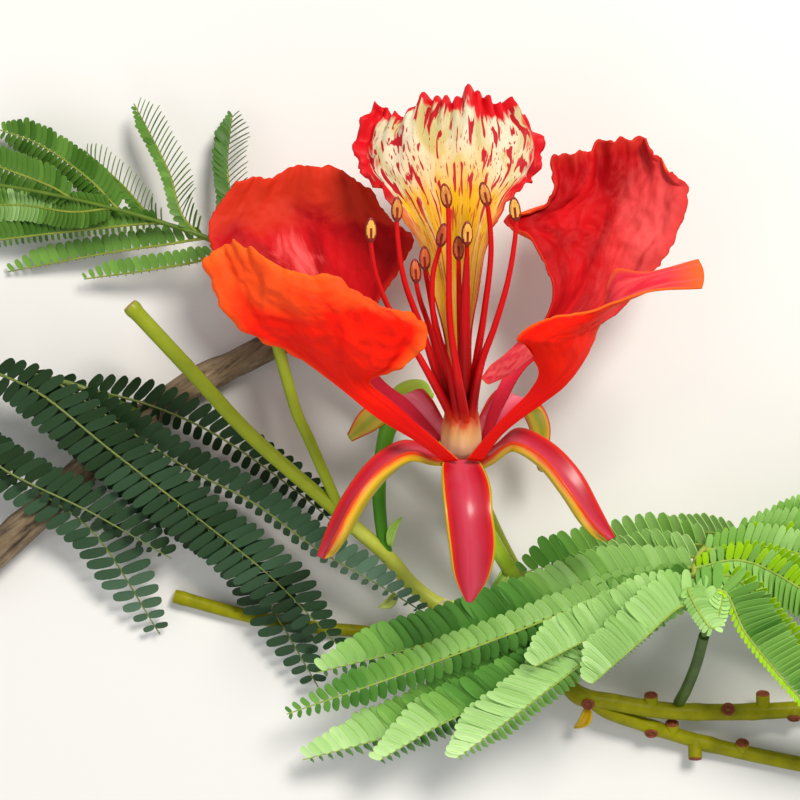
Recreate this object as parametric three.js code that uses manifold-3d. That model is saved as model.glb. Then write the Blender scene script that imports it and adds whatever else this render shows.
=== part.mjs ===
// A flowering sprig of royal poinciana, cut from its tree and lying down.
// Millimetres, +Z up. The sprig lies on the plane z = 0 with its bloom facing up:
// +Y runs from the bloom's hanging sepal to its banner petal.
// The origin is under the middle of the sprig's box, on that plane.

import * as THREE from 'three';
import { mergeVertices } from 'three/addons/utils/BufferGeometryUtils.js';
import Module from 'manifold-3d';

const wasm = await Module();
wasm.setup();

// Driving dimensions
const GAP = 0.3;
const PETAL_THICKNESS = 0.6;
const SEPAL_THICKNESS = 1.3;
const FROND_THICKNESS = 0.75;
const RIB_HALF_WIDTH = 0.55;
const TEETH_PER_SIDE = 6;
const FILAMENT_ROOT_RADIUS = 0.52;
const FILAMENT_TIP_RADIUS = 0.45;
const ANTHER_SIZE = [1.15, 2.5, 0.85];
const PISTIL_RADIUS = [0.7, 0.95];
const BLOOM_CENTRE = [12.2, -9.2, 32];
const BLOOM_TILT = THREE.MathUtils.degToRad(35);
const CUP_RADIUS = 6.6;
const CUP_HEIGHT = 5.4;
const COLUMN_RADIUS = [4.0, 2.7];
const COLUMN_HEIGHT = 6.4;
const SCAR_RADIUS = 1.15;

// Petals: stations from the claw's foot to the ruffled rim, each with places across the blade
const PETALS = {
  banner: [
    [[11.3, -6.7, 28.4], [11.8, -6.6, 28.2], [12.3, -6.6, 28.1], [12.8, -6.6, 28.2], [13.3, -6.7, 28.4]],
    [[9.8, 0.8, 33.2], [10.9, 0.8, 32.2], [12, 0.8, 31.8], [13.1, 0.8, 32.2], [14.2, 0.8, 33.2]],
    [[8.9, 11.8, 38.8], [10.3, 11.7, 36.9], [11.7, 11.9, 36.3], [12.9, 12.3, 36.9], [14, 13, 38.8]],
    [[6.5, 21.1, 41.8], [9, 21.2, 40.3], [11.4, 21.2, 39.5], [13.5, 21.2, 40.3], [15.3, 21.1, 41.8]],
    [[3.9, 30, 43.4], [7.4, 30.1, 42.5], [10.8, 30.1, 41.6], [14.3, 30.1, 42.5], [17, 30.4, 43.4]],
    [[-1.6, 38.7, 42], [4.7, 38.4, 43.5], [10.3, 38.6, 43.2], [16.2, 38.6, 43.5], [21.1, 39.3, 42]],
    [[-6.5, 44.2, 37.5], [2.3, 45.4, 42], [9.9, 45.6, 43], [18, 45.7, 42], [26.3, 44.2, 37.5]],
    [[-8.4, 51.3, 34.5], [1.6, 51.6, 39], [9.6, 52.2, 40], [18.5, 51.6, 39], [27.8, 50.9, 34.5]],
    [[-4.8, 57.5, 32.5], [3.2, 57.7, 34.5], [10.6, 60.7, 34], [17.5, 60.3, 34.5], [23.4, 57.9, 32.5]],
  ],
  rear_left: [
    [[7.4, -8.9, 31.8], [7.6, -8.6, 31.3], [7.8, -8.2, 30.8], [8, -7.9, 30.3], [8.2, -7.5, 29.8]],
    [[0, -2.4, 32.2], [0.5, -1.9, 31.8], [1, -1.4, 31.4], [1.5, -0.9, 31.1], [2, -0.4, 30.8]],
    [[-7.4, 3.6, 31.2], [-6.8, 4.2, 30.4], [-6.2, 4.8, 30], [-5.6, 5.4, 30], [-5, 6, 30.5]],
    [[-15.7, 9.7, 29.5], [-13.2, 10.9, 28.2], [-10.7, 12.5, 28], [-8.2, 14.4, 28.8], [-5.6, 16.5, 30.5]],
    [[-27.8, 19.4, 28], [-20.3, 21.9, 26], [-15.2, 24.4, 25.5], [-8.1, 24.7, 27], [-0.6, 25.3, 30.5]],
    [[-37.1, 29.1, 28], [-28, 31.3, 25], [-19.3, 33, 24], [-8.1, 32.4, 26], [2.8, 32.2, 29.5]],
    [[-38.6, 35.2, 27], [-28.9, 38.2, 24.5], [-20.4, 39.7, 23.5], [-10.2, 38.2, 25], [-1.2, 35.6, 27.5]],
    [[-33.2, 43.9, 26.5], [-26.8, 45.4, 24.5], [-19.5, 47.4, 24.5], [-12.2, 46.7, 25],
      [-5.9, 42.1, 26.5]],
  ],
  rear_right: [
    [[16.4, -7.7, 29.8], [16.6, -8, 30.3], [16.8, -8.4, 30.8], [16.9, -8.7, 31.3], [17.1, -9.1, 31.8]],
    [[18.7, 0.2, 30.8], [19.1, -0.1, 31.1], [19.6, -0.4, 31.4], [20.2, -0.7, 31.8], [20.8, -1, 32.2]],
    [[22.9, 8.6, 30.5], [23.6, 8.2, 30], [24.3, 7.8, 30], [25, 7.4, 30.4], [25.6, 7, 31.2]],
    [[29.3, 16.5, 30.5], [30.1, 15.7, 29.1], [31.2, 14.7, 28.5], [32.7, 13.5, 28.6], [34.4, 12.1, 29.5]],
    [[30.7, 22.7, 30], [34.3, 23, 28], [37.5, 22.3, 26.5], [40.9, 20.2, 27], [43.9, 17.7, 29]],
    [[27.2, 30.2, 29.5], [33.4, 31.2, 26], [40.3, 32.5, 24.5], [46.7, 30.4, 25.5], [50.8, 26.6, 28.5]],
    [[21, 36, 27.5], [30.8, 35.7, 25.5], [41.1, 38.3, 24], [49.2, 36.2, 25], [54.9, 32.3, 28]],
    [[29.7, 40.4, 27.5], [36.2, 42.7, 25], [43.2, 45.2, 23.5], [50.8, 44.7, 25], [57.7, 42, 28]],
    [[30.8, 49, 26.5], [37, 50.4, 25], [43.1, 52.9, 24.5], [49.7, 52.6, 25.5], [55.3, 46, 28]],
  ],
  front_left: [
    [[8.4, -10.9, 34.6], [8.8, -11.1, 34.9], [9.3, -11.3, 35.2], [9.8, -11.5, 35.5], [10.3, -11.7, 35.8]],
    [[3.1, -8, 41], [3.7, -7.6, 41.4], [4.2, -7.1, 41.6], [4.7, -6.7, 41.8], [5.3, -6.3, 41.8]],
    [[-4.3, -3.5, 44.6], [-3.5, -2.7, 45.1], [-2.7, -1.9, 45.4], [-2, -1.2, 45.6], [-1.4, -0.4, 45.6]],
    [[-12.2, 2.9, 46.5], [-10.5, 3.1, 47.4], [-8.9, 3.3, 48], [-7.3, 3.5, 48.2], [-5.8, 3.7, 48]],
    [[-21.1, 9.8, 50], [-15.6, 9.2, 52.5], [-10.3, 8.2, 54], [-4.9, 7.2, 54], [-0.4, 6.5, 52]],
    [[-29.4, 13.9, 52.5], [-21.9, 15.1, 57], [-14.1, 15.4, 60], [-4.5, 14.7, 59], [4.6, 12.9, 55]],
    [[-34.7, 20.6, 53], [-28.2, 22.2, 58], [-18.6, 20.1, 62], [-9, 19.1, 61], [0.9, 14.8, 55.5]],
    [[-37.1, 26.4, 52], [-30.7, 29.7, 56], [-20.6, 23.9, 61], [-11.2, 22.1, 60], [-3.8, 15.9, 55.5]],
  ],
  front_right: [
    [[13.9, -11.7, 35.8], [14.4, -11.5, 35.5], [14.9, -11.3, 35.2], [15.4, -11.1, 34.9],
      [15.9, -10.9, 34.6]],
    [[18.6, -5.1, 41.8], [19, -5.4, 41.8], [19.5, -5.7, 41.6], [19.9, -6, 41.4], [20.4, -6.3, 41]],
    [[25.2, 1.9, 45.6], [25.9, 1.4, 45.6], [26.6, 0.8, 45.4], [27.3, 0.2, 45.1], [28, -0.4, 44.6]],
    [[26.7, 5.6, 49], [28.1, 5, 49.1], [29.5, 4.4, 48.5], [30.9, 3.9, 47.3], [32.4, 3.3, 45.5]],
    [[24.2, 9.5, 53], [27.2, 8.9, 53.5], [30.6, 8, 52], [33.5, 7.5, 49], [36, 8.5, 46]],
    [[22.4, 11.9, 55.5], [25.9, 11.7, 57], [29.7, 11.7, 56.5], [33.8, 11.6, 52.5], [37.9, 13.5, 47]],
    [[28.2, 15.3, 58], [31.3, 14.1, 58], [34.7, 13.8, 55], [38.1, 15.4, 49], [39.9, 18.2, 45.5]],
    [[34.6, 16.4, 58.5], [36.8, 15.9, 56.5], [38.9, 16.4, 52.5], [40.2, 18.5, 48.5], [40.3, 21.7, 46]],
    [[40.7, 18.3, 58], [42.1, 18.6, 55], [43, 19.7, 51.5], [42.8, 21.5, 49.5], [41.6, 25.1, 48]],
    [[47.3, 20.6, 56], [48.2, 21.1, 53.5], [48.3, 22.2, 52], [48.1, 23.5, 51], [47, 24.5, 50.5]],
    [[57.5, 21.3, 53.5], [58, 22.7, 52.3], [58.1, 24.3, 51.5], [57.8, 25.6, 51.2], [57.1, 27, 51]],
  ],
};

// Sepals: stations from the foot to the tip, each with both margins and the middle
const SEPALS = {
  front: [
    [[15.2, -12.5, 36.6], [12.1, -12.7, 37], [9.1, -12.4, 37.6]],
    [[17.3, -16.7, 40.8], [12.7, -17, 41], [8.6, -16.6, 43]],
    [[18.1, -21.8, 43.4], [13.1, -22.2, 43.4], [8.7, -21.7, 46.2]],
    [[18.7, -28.3, 43.4], [13.6, -28.8, 43.4], [9.5, -28.1, 46.2]],
    [[17.4, -34.6, 41.8], [13.9, -35.2, 42], [10.5, -34.4, 44]],
    [[14.5, -39.3, 40], [13.7, -39.7, 40.1], [12.7, -39.2, 40.6]],
  ],
  front_left: [
    [[7.4, -11.7, 34.1], [6.8, -10.8, 32.7], [6, -9.4, 31.9]],
    [[1.8, -10.3, 39.5], [1.8, -10.4, 36.1], [0.8, -8.3, 33.7]],
    [[-3.5, -13, 43.6], [-3.2, -13.6, 39.6], [-5.1, -11, 37.2]],
    [[-8.3, -18.3, 46.5], [-7.5, -18.8, 42.4], [-10.6, -17.7, 39.9]],
    [[-12.2, -25.4, 46], [-11.7, -25.8, 42.6], [-14.3, -25, 40.4]],
    [[-14.7, -31.1, 41.7], [-15.4, -30.9, 40.9], [-16.3, -30.6, 40.3]],
  ],
  front_right: [
    [[18.8, -9.4, 31.9], [17.9, -10.8, 32.7], [17.3, -11.7, 34.1]],
    [[23.3, -5.9, 33.8], [22.4, -8.3, 36], [22.2, -8.4, 39.4]],
    [[29.8, -8.2, 37.4], [28.1, -11.4, 39.3], [27.9, -11.2, 43.4]],
    [[35.3, -13.9, 40.1], [32.7, -16.9, 42], [32.3, -16.8, 46.3]],
    [[39.4, -21.4, 40.6], [36.8, -23.1, 42.3], [36.6, -22.9, 45.8]],
    [[42.2, -26.9, 40.2], [41.4, -27.3, 40.9], [40.7, -27.6, 41.8]],
  ],
  rear_left: [
    [[7.4, -7.4, 29], [8.4, -6.1, 27.6], [9.3, -5.3, 26.2]],
    [[2.8, -4.1, 25.5], [4.7, -1.8, 24.4], [6.5, 0, 25.5]],
    [[-0.8, -1, 21.4], [1.4, 0.8, 20.6], [4.1, 2.3, 21.8]],
    [[-4.5, 0, 17.8], [-2.3, -0.8, 17.4], [0, -2.1, 17.4]],
    [[-8.3, -2.5, 15.8], [-6.4, -4.2, 15.2], [-4.6, -6, 15]],
    [[-11, -7.1, 14.8], [-10.6, -7.9, 14.6], [-10, -8.7, 14.6]],
  ],
  rear_right: [
    [[15.4, -5.3, 26.2], [16.3, -6.1, 27.6], [17.1, -7.4, 29]],
    [[17.9, 0, 25.5], [19.7, -1.8, 24.4], [21.5, -4.1, 25.5]],
    [[20.5, 2.3, 21.8], [23.2, 0.8, 20.6], [25.4, -1, 21.4]],
    [[24.8, -2.1, 17.4], [27.1, -1.2, 17.2], [29.1, -1, 17.6]],
    [[27, -6.6, 15.2], [29.3, -5.6, 15], [31.1, -5, 15.6]],
    [[27.4, -10.8, 14.4], [29.3, -10.4, 14.4], [31, -10, 14.8]],
    [[28.7, -14.6, 14.2], [29.5, -15, 14.2], [30.4, -14.6, 14.3]],
  ],
};

// The front right petal's small flap, which folds back beside its claw
const FLAPS = {
  front_right: [
    [[22.8, 11.4, 55], [23.4, 10.8, 55.2], [24.1, 10.1, 55], [24.7, 9.3, 54.4], [25.3, 8.4, 53.4]],
    [[19.6, 8.4, 52.5], [20.2, 7.9, 52.7], [20.8, 7.2, 52.6], [21.5, 6.5, 52.2], [22.2, 5.7, 51.6]],
    [[17.4, 6.7, 50.6], [18, 6, 50.7], [18.6, 5.4, 50.6], [19.2, 4.8, 50.4], [20, 4.4, 50]],
    [[15.8, 4.4, 49], [15.9, 4, 49], [16.2, 3.7, 49], [16.6, 3.3, 48.9], [17.1, 3.1, 48.8]],
  ],
};

// Filaments: each path from the pale column to its anther, with the anther's middle last
const STAMENS = [
  [[10.5, -4.2, 37.1], [6, 4.3, 45], [2.3, 10.6, 46.5], [-1.5, 16.4, 47.5], [-4.6, 24, 49],
    [-5.6, 30.1, 50], [-5.6, 32.6, 50.4]],
  [[10.1, -3.5, 36], [7, 5.5, 43], [4.3, 13.5, 47], [0.8, 23, 50], [-0.4, 30.6, 51.5], [-0.6, 34, 52],
    [-0.6, 36.4, 52.4]],
  [[10.5, -2.7, 35], [8.2, 5.5, 40.6], [5.6, 14.6, 43.6], [3.9, 19.4, 44.8], [3.2, 22.5, 45.6],
    [3, 25, 46]],
  [[11.5, -2.3, 34.3], [9.1, 6.7, 38.8], [6.8, 15.6, 42.4], [5.6, 21.4, 45], [4.9, 25, 46.4],
    [4.8, 27.4, 47.2]],
  [[11.5, -4.6, 37.7], [9.3, 6.6, 45.6], [6.5, 15.8, 48.4], [6.3, 24, 49.8], [7.6, 29.2, 50],
    [8.1, 31.6, 50.2]],
  [[12.9, -4.6, 37.7], [11.2, 4.2, 47.6], [9.5, 15.3, 52], [9.3, 27.6, 54], [9.1, 36.4, 55.2],
    [8.7, 38.7, 55.4]],
  [[12.9, -2.3, 34.3], [12.2, 5.5, 40.8], [11.6, 15.5, 45], [11.4, 22.2, 47], [11.3, 26.6, 48.8],
    [11.2, 29.2, 49.2]],
  [[13.7, -2.6, 34.8], [13.1, 5.5, 42.2], [13, 15.5, 46.2], [12.9, 24, 49.6], [12.8, 28.7, 51.4],
    [12.8, 31.8, 52.7]],
  [[14.3, -3.5, 36.1], [14.8, 6.6, 42.6], [16.2, 16.4, 47], [17.4, 28.7, 51.5], [16.7, 36.5, 54],
    [16.1, 39.1, 54.4]],
  [[13.9, -4.2, 37.1], [15.7, 7, 45.6], [18.3, 14.4, 48.6], [20.9, 23.8, 50.5], [22.2, 33.8, 52],
    [21.9, 36.4, 52.4]],
];
const PISTIL = [[12.2, -3.5, 36], [12.1, 0.4, 41], [12.4, 7.4, 46.2], [12.4, 15.4, 50],
  [12.6, 22.9, 52.4], [12.7, 27.2, 53.4]];

// Stems: the path from the root end, and the radius at the root and at the tip
const STEMS = {
  woody_twig: {
    path: [[-94.4, -39.9, 5.2], [-79.5, -26.5, 5.2], [-49.9, -0.4, 5], [-25.5, 12.7, 4.8],
      [-5.9, 23.4, 4.5]],
    radii: [3.3, 2.7],
  },
  peduncle: {
    path: [[-22.9, 14, 5], [-14.7, 8.4, 8.2], [-6.3, 1.9, 9.5], [6.3, -8.4, 10], [14.3, -17.2, 10],
      [21, -30.5, 9], [28.2, -44.2, 8.5], [35, -59.9, 8]],
    radii: [2.0, 1.8],
  },
  raceme_axis: {
    path: [[35, -59.9, 8], [38, -62.4, 7.8], [44.7, -63.7, 7.5], [55.6, -65.6, 6.5], [68.7, -66.2, 5],
      [85.1, -65.8, 3.4], [102.4, -64, 2.6]],
    radii: [1.85, 1.75],
  },
  lower_axis: {
    path: [[40.1, -63.1, 7.6], [43.6, -65.8, 6.6], [51.3, -68.7, 5], [60.2, -71.7, 3.4],
      [67.4, -73.8, 2.6], [85.4, -77.7, 2.1], [99.3, -80.1, 2]],
    radii: [1.5, 1.7],
  },
  side_axis: {
    path: [[31.8, -52.3, 8.2], [26.1, -49.3, 8.6], [18.9, -45.4, 9.8], [9.4, -43.6, 10.5],
      [2.5, -38.7, 11], [-2.3, -33, 12], [-10, -26, 13.5]],
    radii: [1.7, 1.6],
  },
  long_bare_pedicel: {
    path: [[-10, -26, 13.5], [-14.1, -22.2, 14.5], [-30.9, -7.2, 18], [-42.9, 6.1, 22],
      [-54.7, 19.1, 26]],
    radii: [1.45, 1.6],
  },
  rear_pedicel: {
    path: [[-11.7, -24.6, 13.9], [-15.1, -16.6, 16.6], [-18.7, -8.2, 18.6], [-21.2, -2.7, 19.6],
      [-23.2, 4.1, 20], [-25.5, 12.7, 20]],
    radii: [1.1, 1.25],
  },
  green_pedicel: {
    path: [[-2.5, -33.4, 12], [-3.8, -27.1, 12.8], [-4.4, -18.1, 13.5], [-3.8, -12.1, 13.4],
      [-2.7, -6.7, 13.4], [-1, -2.1, 13.9], [1.2, 0.6, 14.3], [4.2, 1.5, 14.5]],
    radii: [1.15, 2.0],
  },
  bloom_pedicel: {
    path: [[12.6, -13, 25.6], [13.4, -16.2, 25.5], [16.3, -23.8, 23.5], [21.4, -33, 18.5],
      [25.9, -40.5, 12.5], [28.4, -44.6, 8.6]],
    radii: [1.7, 1.5],
  },
  lower_bare_pedicel: {
    path: [[35, -59.5, 7.8], [29.6, -58.9, 6], [14.9, -54.8, 3], [-5.3, -49.8, 1.8],
      [-16.9, -48.7, 1.7], [-31.2, -46.4, 1.7], [-48.1, -41.9, 1.7]],
    radii: [1.2, 1.45],
  },
  right_leaf_stalk: {
    path: [[59, -63.9, 6.6], [59.6, -60.5, 13], [60.3, -53.8, 24], [60.6, -47, 33.5]],
    radii: [1.25, 1.1],
  },
  left_leaf_stalk: {
    path: [[-53.9, -3.8, 4.8], [-57.1, -2.1, 9.6], [-61.9, 0.6, 12]],
    radii: [1.3, 1.1],
  },
  upper_leaf_stalk: {
    path: [[-22.9, 14, 4.6], [-23.9, 18.9, 9.6], [-28.9, 25.1, 11]],
    radii: [1.2, 1.0],
  },
};

// Leaves: the rachis with its two radii, and each pinna's path and how far it reaches to its left and right
const LEAVES = {
  right_leaf: {
    rachis: [[60.6, -46.6, 34.2], [60.1, -43.9, 37.4], [58.8, -37.9, 38], [58.3, -32.9, 36],
      [62, -28.6, 32], [72.8, -25.4, 24.5], [91.6, -22.5, 14], [106.7, -21.1, 7]],
    radii: [1.05, 0.6],
    pinnae: {
      r9: [[[59.6, -42, 37.8], [56.6, -40.2, 38.4], [47.5, -47.7, 37], [38.3, -56.7, 33]], 1.65, 7.39],
      r8: [[[59.2, -40.1, 38], [51.3, -40.6, 38], [41.7, -45.2, 35.5], [26.5, -53.7, 31]], 1.92, 7.04],
      r7: [[[59, -38.9, 37.9], [47.6, -44, 36], [36.9, -52.5, 31], [21.6, -65.6, 24],
        [11.9, -73.5, 19]], 3.74, 6.66],
      r6: [[[58.6, -37.1, 37.8], [45.9, -45.9, 33], [28.4, -56.4, 26], [8.6, -66.7, 19],
        [-4.2, -74.8, 15]], 3.96, 6.47],
      r5: [[[58.3, -35.8, 37.5], [40.2, -44.2, 30], [16.4, -59.6, 20], [-2.1, -69.7, 14],
        [-20.4, -75.7, 9]], 3.96, 6.27],
      r4: [[[58.1, -34.4, 37], [43.9, -38.3, 33], [24.2, -46.5, 27.5], [0, -56.4, 20.5],
        [-23.5, -65.3, 14.5]], 5.78, 4.08],
      r3: [[[58.2, -33.1, 36.2], [42.2, -36.2, 30], [24.5, -43.2, 23.5], [4.1, -50.7, 18],
        [-17.5, -56.9, 13]], 5.1, 6.8],
      r2: [[[59.5, -31, 34.6], [50.3, -32.8, 29], [39.8, -36.8, 22.5], [28.4, -42.6, 16.5]], 3.84, 6.53],
      r1: [[[61.6, -29, 32.2], [51.8, -29.7, 25], [39.3, -33.1, 17], [28.9, -37.2, 11.5]], 3.96, 6.73],
      r0: [[[68.7, -26.5, 27.4], [59.6, -24.6, 20], [50.1, -26.5, 13], [42.2, -30.6, 8]], 3.72, 6.2],
      q1: [[[60, -43, 37.7], [62.3, -39.4, 38.5], [64.5, -41.9, 37], [64.3, -47.1, 33]], 4.6, 0.92],
      q2: [[[59, -38.7, 38], [63.4, -37.4, 38.6], [68.5, -46.1, 35], [80.9, -60.3, 27],
        [92.8, -72.6, 18]], 7.13, 1.98],
      q3: [[[58.5, -35.6, 37.4], [65.3, -34.8, 37], [76.3, -45.8, 30], [92.4, -59.6, 20],
        [105.5, -70, 12]], 6.6, 2.64],
      q4: [[[58.2, -33.3, 36.4], [67.7, -31.9, 34], [83.3, -39.4, 25], [102, -51, 14],
        [116.2, -59.2, 7]], 6.6, 3.3],
      q5: [[[60.4, -29.9, 33.4], [72.5, -29.4, 29], [90.6, -34.2, 19], [111.7, -42.2, 8]], 6.4, 3.84],
      q6: [[[67.6, -26.8, 28.2], [81.8, -27, 22], [100.3, -29.7, 12], [119.1, -34, 4]], 6.2, 4.96],
      q7: [[[82.3, -23.9, 19.4], [91.6, -20, 14], [105.4, -14.8, 8], [120.5, -8.5, 2.5]], 6.2, 4.96],
      q8: [[[73.3, -25.2, 24.2], [78.4, -20.6, 18], [90.2, -14.7, 10.5], [102, -8.5, 4]], 6.2, 4.96],
    },
  },
  left_leaf: {
    rachis: [[-62.1, 0.7, 12.1], [-67.2, 2.9, 13], [-71.9, 4.2, 13.4], [-83.3, 6.2, 13.6],
      [-93.9, 4.6, 12.5], [-105.4, -0.4, 8]],
    radii: [1.05, 0.6],
    pinnae: {
      l1: [[[-96.1, 4.2, 12.2], [-91.6, -6.2, 14], [-83.2, -13.9, 14], [-64, -23.8, 12],
        [-48, -33.4, 9]], 6.6, 3.3],
      l2: [[[-100.7, 2.1, 10.4], [-92.2, -8.4, 11], [-75.5, -19.3, 10.6], [-64.9, -27.6, 8.4],
        [-51.2, -49.9, 2.6]], 6.4, 6.4],
      l3: [[[-85.4, 6.2, 13.6], [-75.2, 1.7, 16], [-60.3, -10.2, 15.6], [-41.7, -25, 13],
        [-27, -37.1, 11], [-13.1, -51.6, 8.5]], 6.9, 6.9],
      l4: [[[-79.1, 5.6, 13.6], [-67.1, -5.2, 10.4], [-48.4, -21.5, 9], [-34.4, -32.1, 7.6],
        [-25, -47.7, 5.6], [-17.4, -61, 4]], 6.5, 6.5],
      l5: [[[-72.5, 4.4, 13.4], [-58.5, -5.2, 12.4], [-43.9, -14.6, 12], [-30.5, -21.5, 12.4],
        [-17.2, -30.9, 15.6], [-2.9, -39.2, 15.8], [6, -44.9, 14.2]], 6.0, 3.3],
      l6: [[[-66.8, 2.7, 12.9], [-52.6, -1.1, 9], [-39, -7.2, 8.4], [-21.1, -19.8, 8],
        [-12.7, -27, 7.4]], 5.6, 5.6],
      l7: [[[-96.5, 4.2, 12.1], [-101, 12.6, 9], [-105.3, 23.4, 4.6], [-107.8, 32.1, 1.2]], 5.8, 5.8],
      l8: [[[-104, 0.2, 8.7], [-110, 5.9, 6.5], [-117.1, 14.9, 3.4], [-120.8, 23.5, 1.2]], 5.8, 5.8],
    },
  },
  upper_left_leaf: {
    rachis: [[-29.1, 25.4, 11.1], [-39.6, 33.4, 13], [-49.9, 37, 14], [-60.3, 40, 14],
      [-73.1, 43, 12.5], [-86.2, 45.4, 9], [-97.6, 46.2, 5]],
    radii: [0.95, 0.5],
    pinnae: {
      u1: [[[-37.2, 31.7, 12.6], [-40.1, 29.7, 12], [-52.6, 27.4, 8.5], [-67.1, 25.7, 4.5]], 1.05, 3.57],
      u2: [[[-40.7, 33.8, 13], [-48.2, 32.7, 11], [-61.8, 31.1, 6.5], [-83.8, 27.4, 1.6]], 0.84, 4.12],
      u3: [[[-50, 37, 13.9], [-62.8, 36, 11], [-84.7, 33.9, 6], [-98.2, 32, 2.2]], 1.98, 4.4],
      u4: [[[-41.7, 34.2, 13.2], [-45.4, 38.5, 14], [-48.4, 47.5, 11], [-56.3, 62.7, 6]], 1.89, 5.25],
      u5: [[[-34.3, 29.2, 12.2], [-35.3, 38.8, 10], [-36.5, 50.7, 7], [-35.7, 60.6, 4]], 3.3, 5.06],
      u6: [[[-48.9, 36.8, 13.9], [-52.1, 38.6, 13], [-58.6, 45.4, 9.5], [-66.9, 52.9, 6]], 2.1, 3.78],
      u7: [[[-59.9, 40, 14], [-68.1, 39.3, 12], [-80.1, 41.1, 8], [-93.6, 40.9, 3.6]], 4.2, 4.2],
      u8: [[[-68.8, 42.1, 13], [-72.3, 44.3, 12], [-84.3, 49.1, 8], [-95.9, 53.3, 3]], 4.4, 4.4],
      u9: [[[-58.7, 39.7, 14], [-64.8, 46, 12], [-75.9, 53.8, 8], [-84.9, 57.3, 5]], 4.2, 4.2],
    },
  },
};

// Round scars that fallen flowers left on the two axes: the middle of the axis, and the scar's face
const SCARS = {
  raceme_axis: [[[39.7, -62.8, 7.7], [39.5, -63.9, 9.4]], [[53.1, -65.1, 6.7], [53, -62.1, 7.3]],
    [[69.6, -66.2, 4.9], [69.3, -65.3, 7.1]], [[83.8, -65.8, 3.5], [83.8, -67.8, 4.1]],
      [[77.1, -66, 4.2], [77.1, -62, 4.7]]],
  lower_axis: [[[53.3, -69.4, 4.6], [53.2, -70.8, 5.2]], [[57.8, -70.9, 3.8], [57.8, -68.4, 4.4]],
    [[72.9, -75, 2.4], [72.9, -72.9, 3]], [[62.8, -72.5, 3.1], [62.8, -76.6, 3.7]]],
};

// Colours
const finish = (color, roughness) => new THREE.MeshStandardMaterial({ color, roughness, metalness: 0 });
const orangeRed = finish('#e8260f', 0.45);
const darkRed = finish('#b5121f', 0.5);
const bannerCream = finish('#f2dfae', 0.5);
const sepalCrimson = finish('#b3162c', 0.35);
const filamentRed = finish('#a80f1c', 0.45);
const columnCream = finish('#f0d3b0', 0.5);
const stemGreen = finish('#a9b82e', 0.5);
const barkBrown = finish('#7a6350', 0.85);
const leafGreen = finish('#5f9a3a', 0.5);
const shadedLeaf = finish('#2f5a3a', 0.5);

// Helpers that turn geometries into solids and back
const vector = (place) => new THREE.Vector3(...place);
const pathThrough = (places) => new THREE.CatmullRomCurve3(places.map(vector), false, 'centripetal');

function toSolid(geometry) {
  geometry.deleteAttribute('normal');
  geometry.deleteAttribute('uv');
  const merged = mergeVertices(geometry, 1e-4);
  return new wasm.Manifold(new wasm.Mesh({
    numProp: 3,
    vertProperties: new Float32Array(merged.attributes.position.array),
    triVerts: new Uint32Array(merged.index.array),
  }));
}

function largestPart(solid) {
  const parts = solid.decompose();
  return parts.reduce((best, part) => (part.volume() > best.volume() ? part : best));
}

function toMesh(name, solid, material) {
  const { numProp, vertProperties, triVerts } = largestPart(solid).getMesh();
  const geometry = new THREE.BufferGeometry();
  const places = new Float32Array(vertProperties.length / numProp * 3);
  for (let i = 0; i < places.length / 3; i += 1) {
    places.set(vertProperties.subarray(i * numProp, i * numProp + 3), i * 3);
  }
  geometry.setAttribute('position', new THREE.BufferAttribute(places, 3));
  geometry.setIndex(new THREE.BufferAttribute(new Uint32Array(triVerts), 1));
  geometry.computeVertexNormals();
  const mesh = new THREE.Mesh(geometry, material);
  mesh.name = name;
  return mesh;
}

function moveVertices(geometry, place) {
  const position = geometry.attributes.position;
  const corner = new THREE.Vector3();
  for (let i = 0; i < position.count; i += 1) {
    corner.fromBufferAttribute(position, i);
    const moved = place(corner);
    position.setXYZ(i, moved.x, moved.y, moved.z);
  }
  return geometry;
}

// A tapering round limb: a cylinder bent along its path
function limb(places, rootRadius, tipRadius, sides = 7, steps = 11) {
  const path = pathThrough(places);
  const frames = path.computeFrenetFrames(steps, false);
  const geometry = new THREE.CylinderGeometry(1, 1, 1, sides, steps);
  return toSolid(moveVertices(geometry, (corner) => {
    const along = corner.y + 0.5;
    const ring = Math.round(along * steps);
    const radius = THREE.MathUtils.lerp(rootRadius, tipRadius, along);
    return path.getPointAt(ring / steps)
      .addScaledVector(frames.normals[ring], corner.x * radius)
      .addScaledVector(frames.binormals[ring], -corner.z * radius);
  }));
}

// A thin blade: a flat box with its grid moved onto the surface through the stations
function blade(stations, thickness, across, along, keel = 0, taper = 0) {
  const rails = stations[0].map((_, i) => pathThrough(stations.map((station) => station[i])));
  const surface = (u, v) => pathThrough(rails.map((rail) => rail.getPoint(v))).getPoint(u);
  const step = 0.01;
  const geometry = new THREE.BoxGeometry(1, 1, 1, across, along, 1);
  return toSolid(moveVertices(geometry, (corner) => {
    const u = corner.x + 0.5;
    const v = corner.y + 0.5;
    const alongU = surface(Math.min(u + step, 1), v).sub(surface(Math.max(u - step, 0), v));
    const alongV = surface(u, Math.min(v + step, 1)).sub(surface(u, Math.max(v - step, 0)));
    const normal = alongU.cross(alongV).normalize();
    const fullness = (1 - (2 * u - 1) ** 2) * Math.sin(Math.PI * Math.min(v + 0.15, 1));
    const bulge = corner.z < 0 ? keel * fullness : 0;
    const full = thickness * (1 - taper * v ** 3);
    return surface(u, v).addScaledVector(normal, corner.z * full - bulge);
  }));
}

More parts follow.
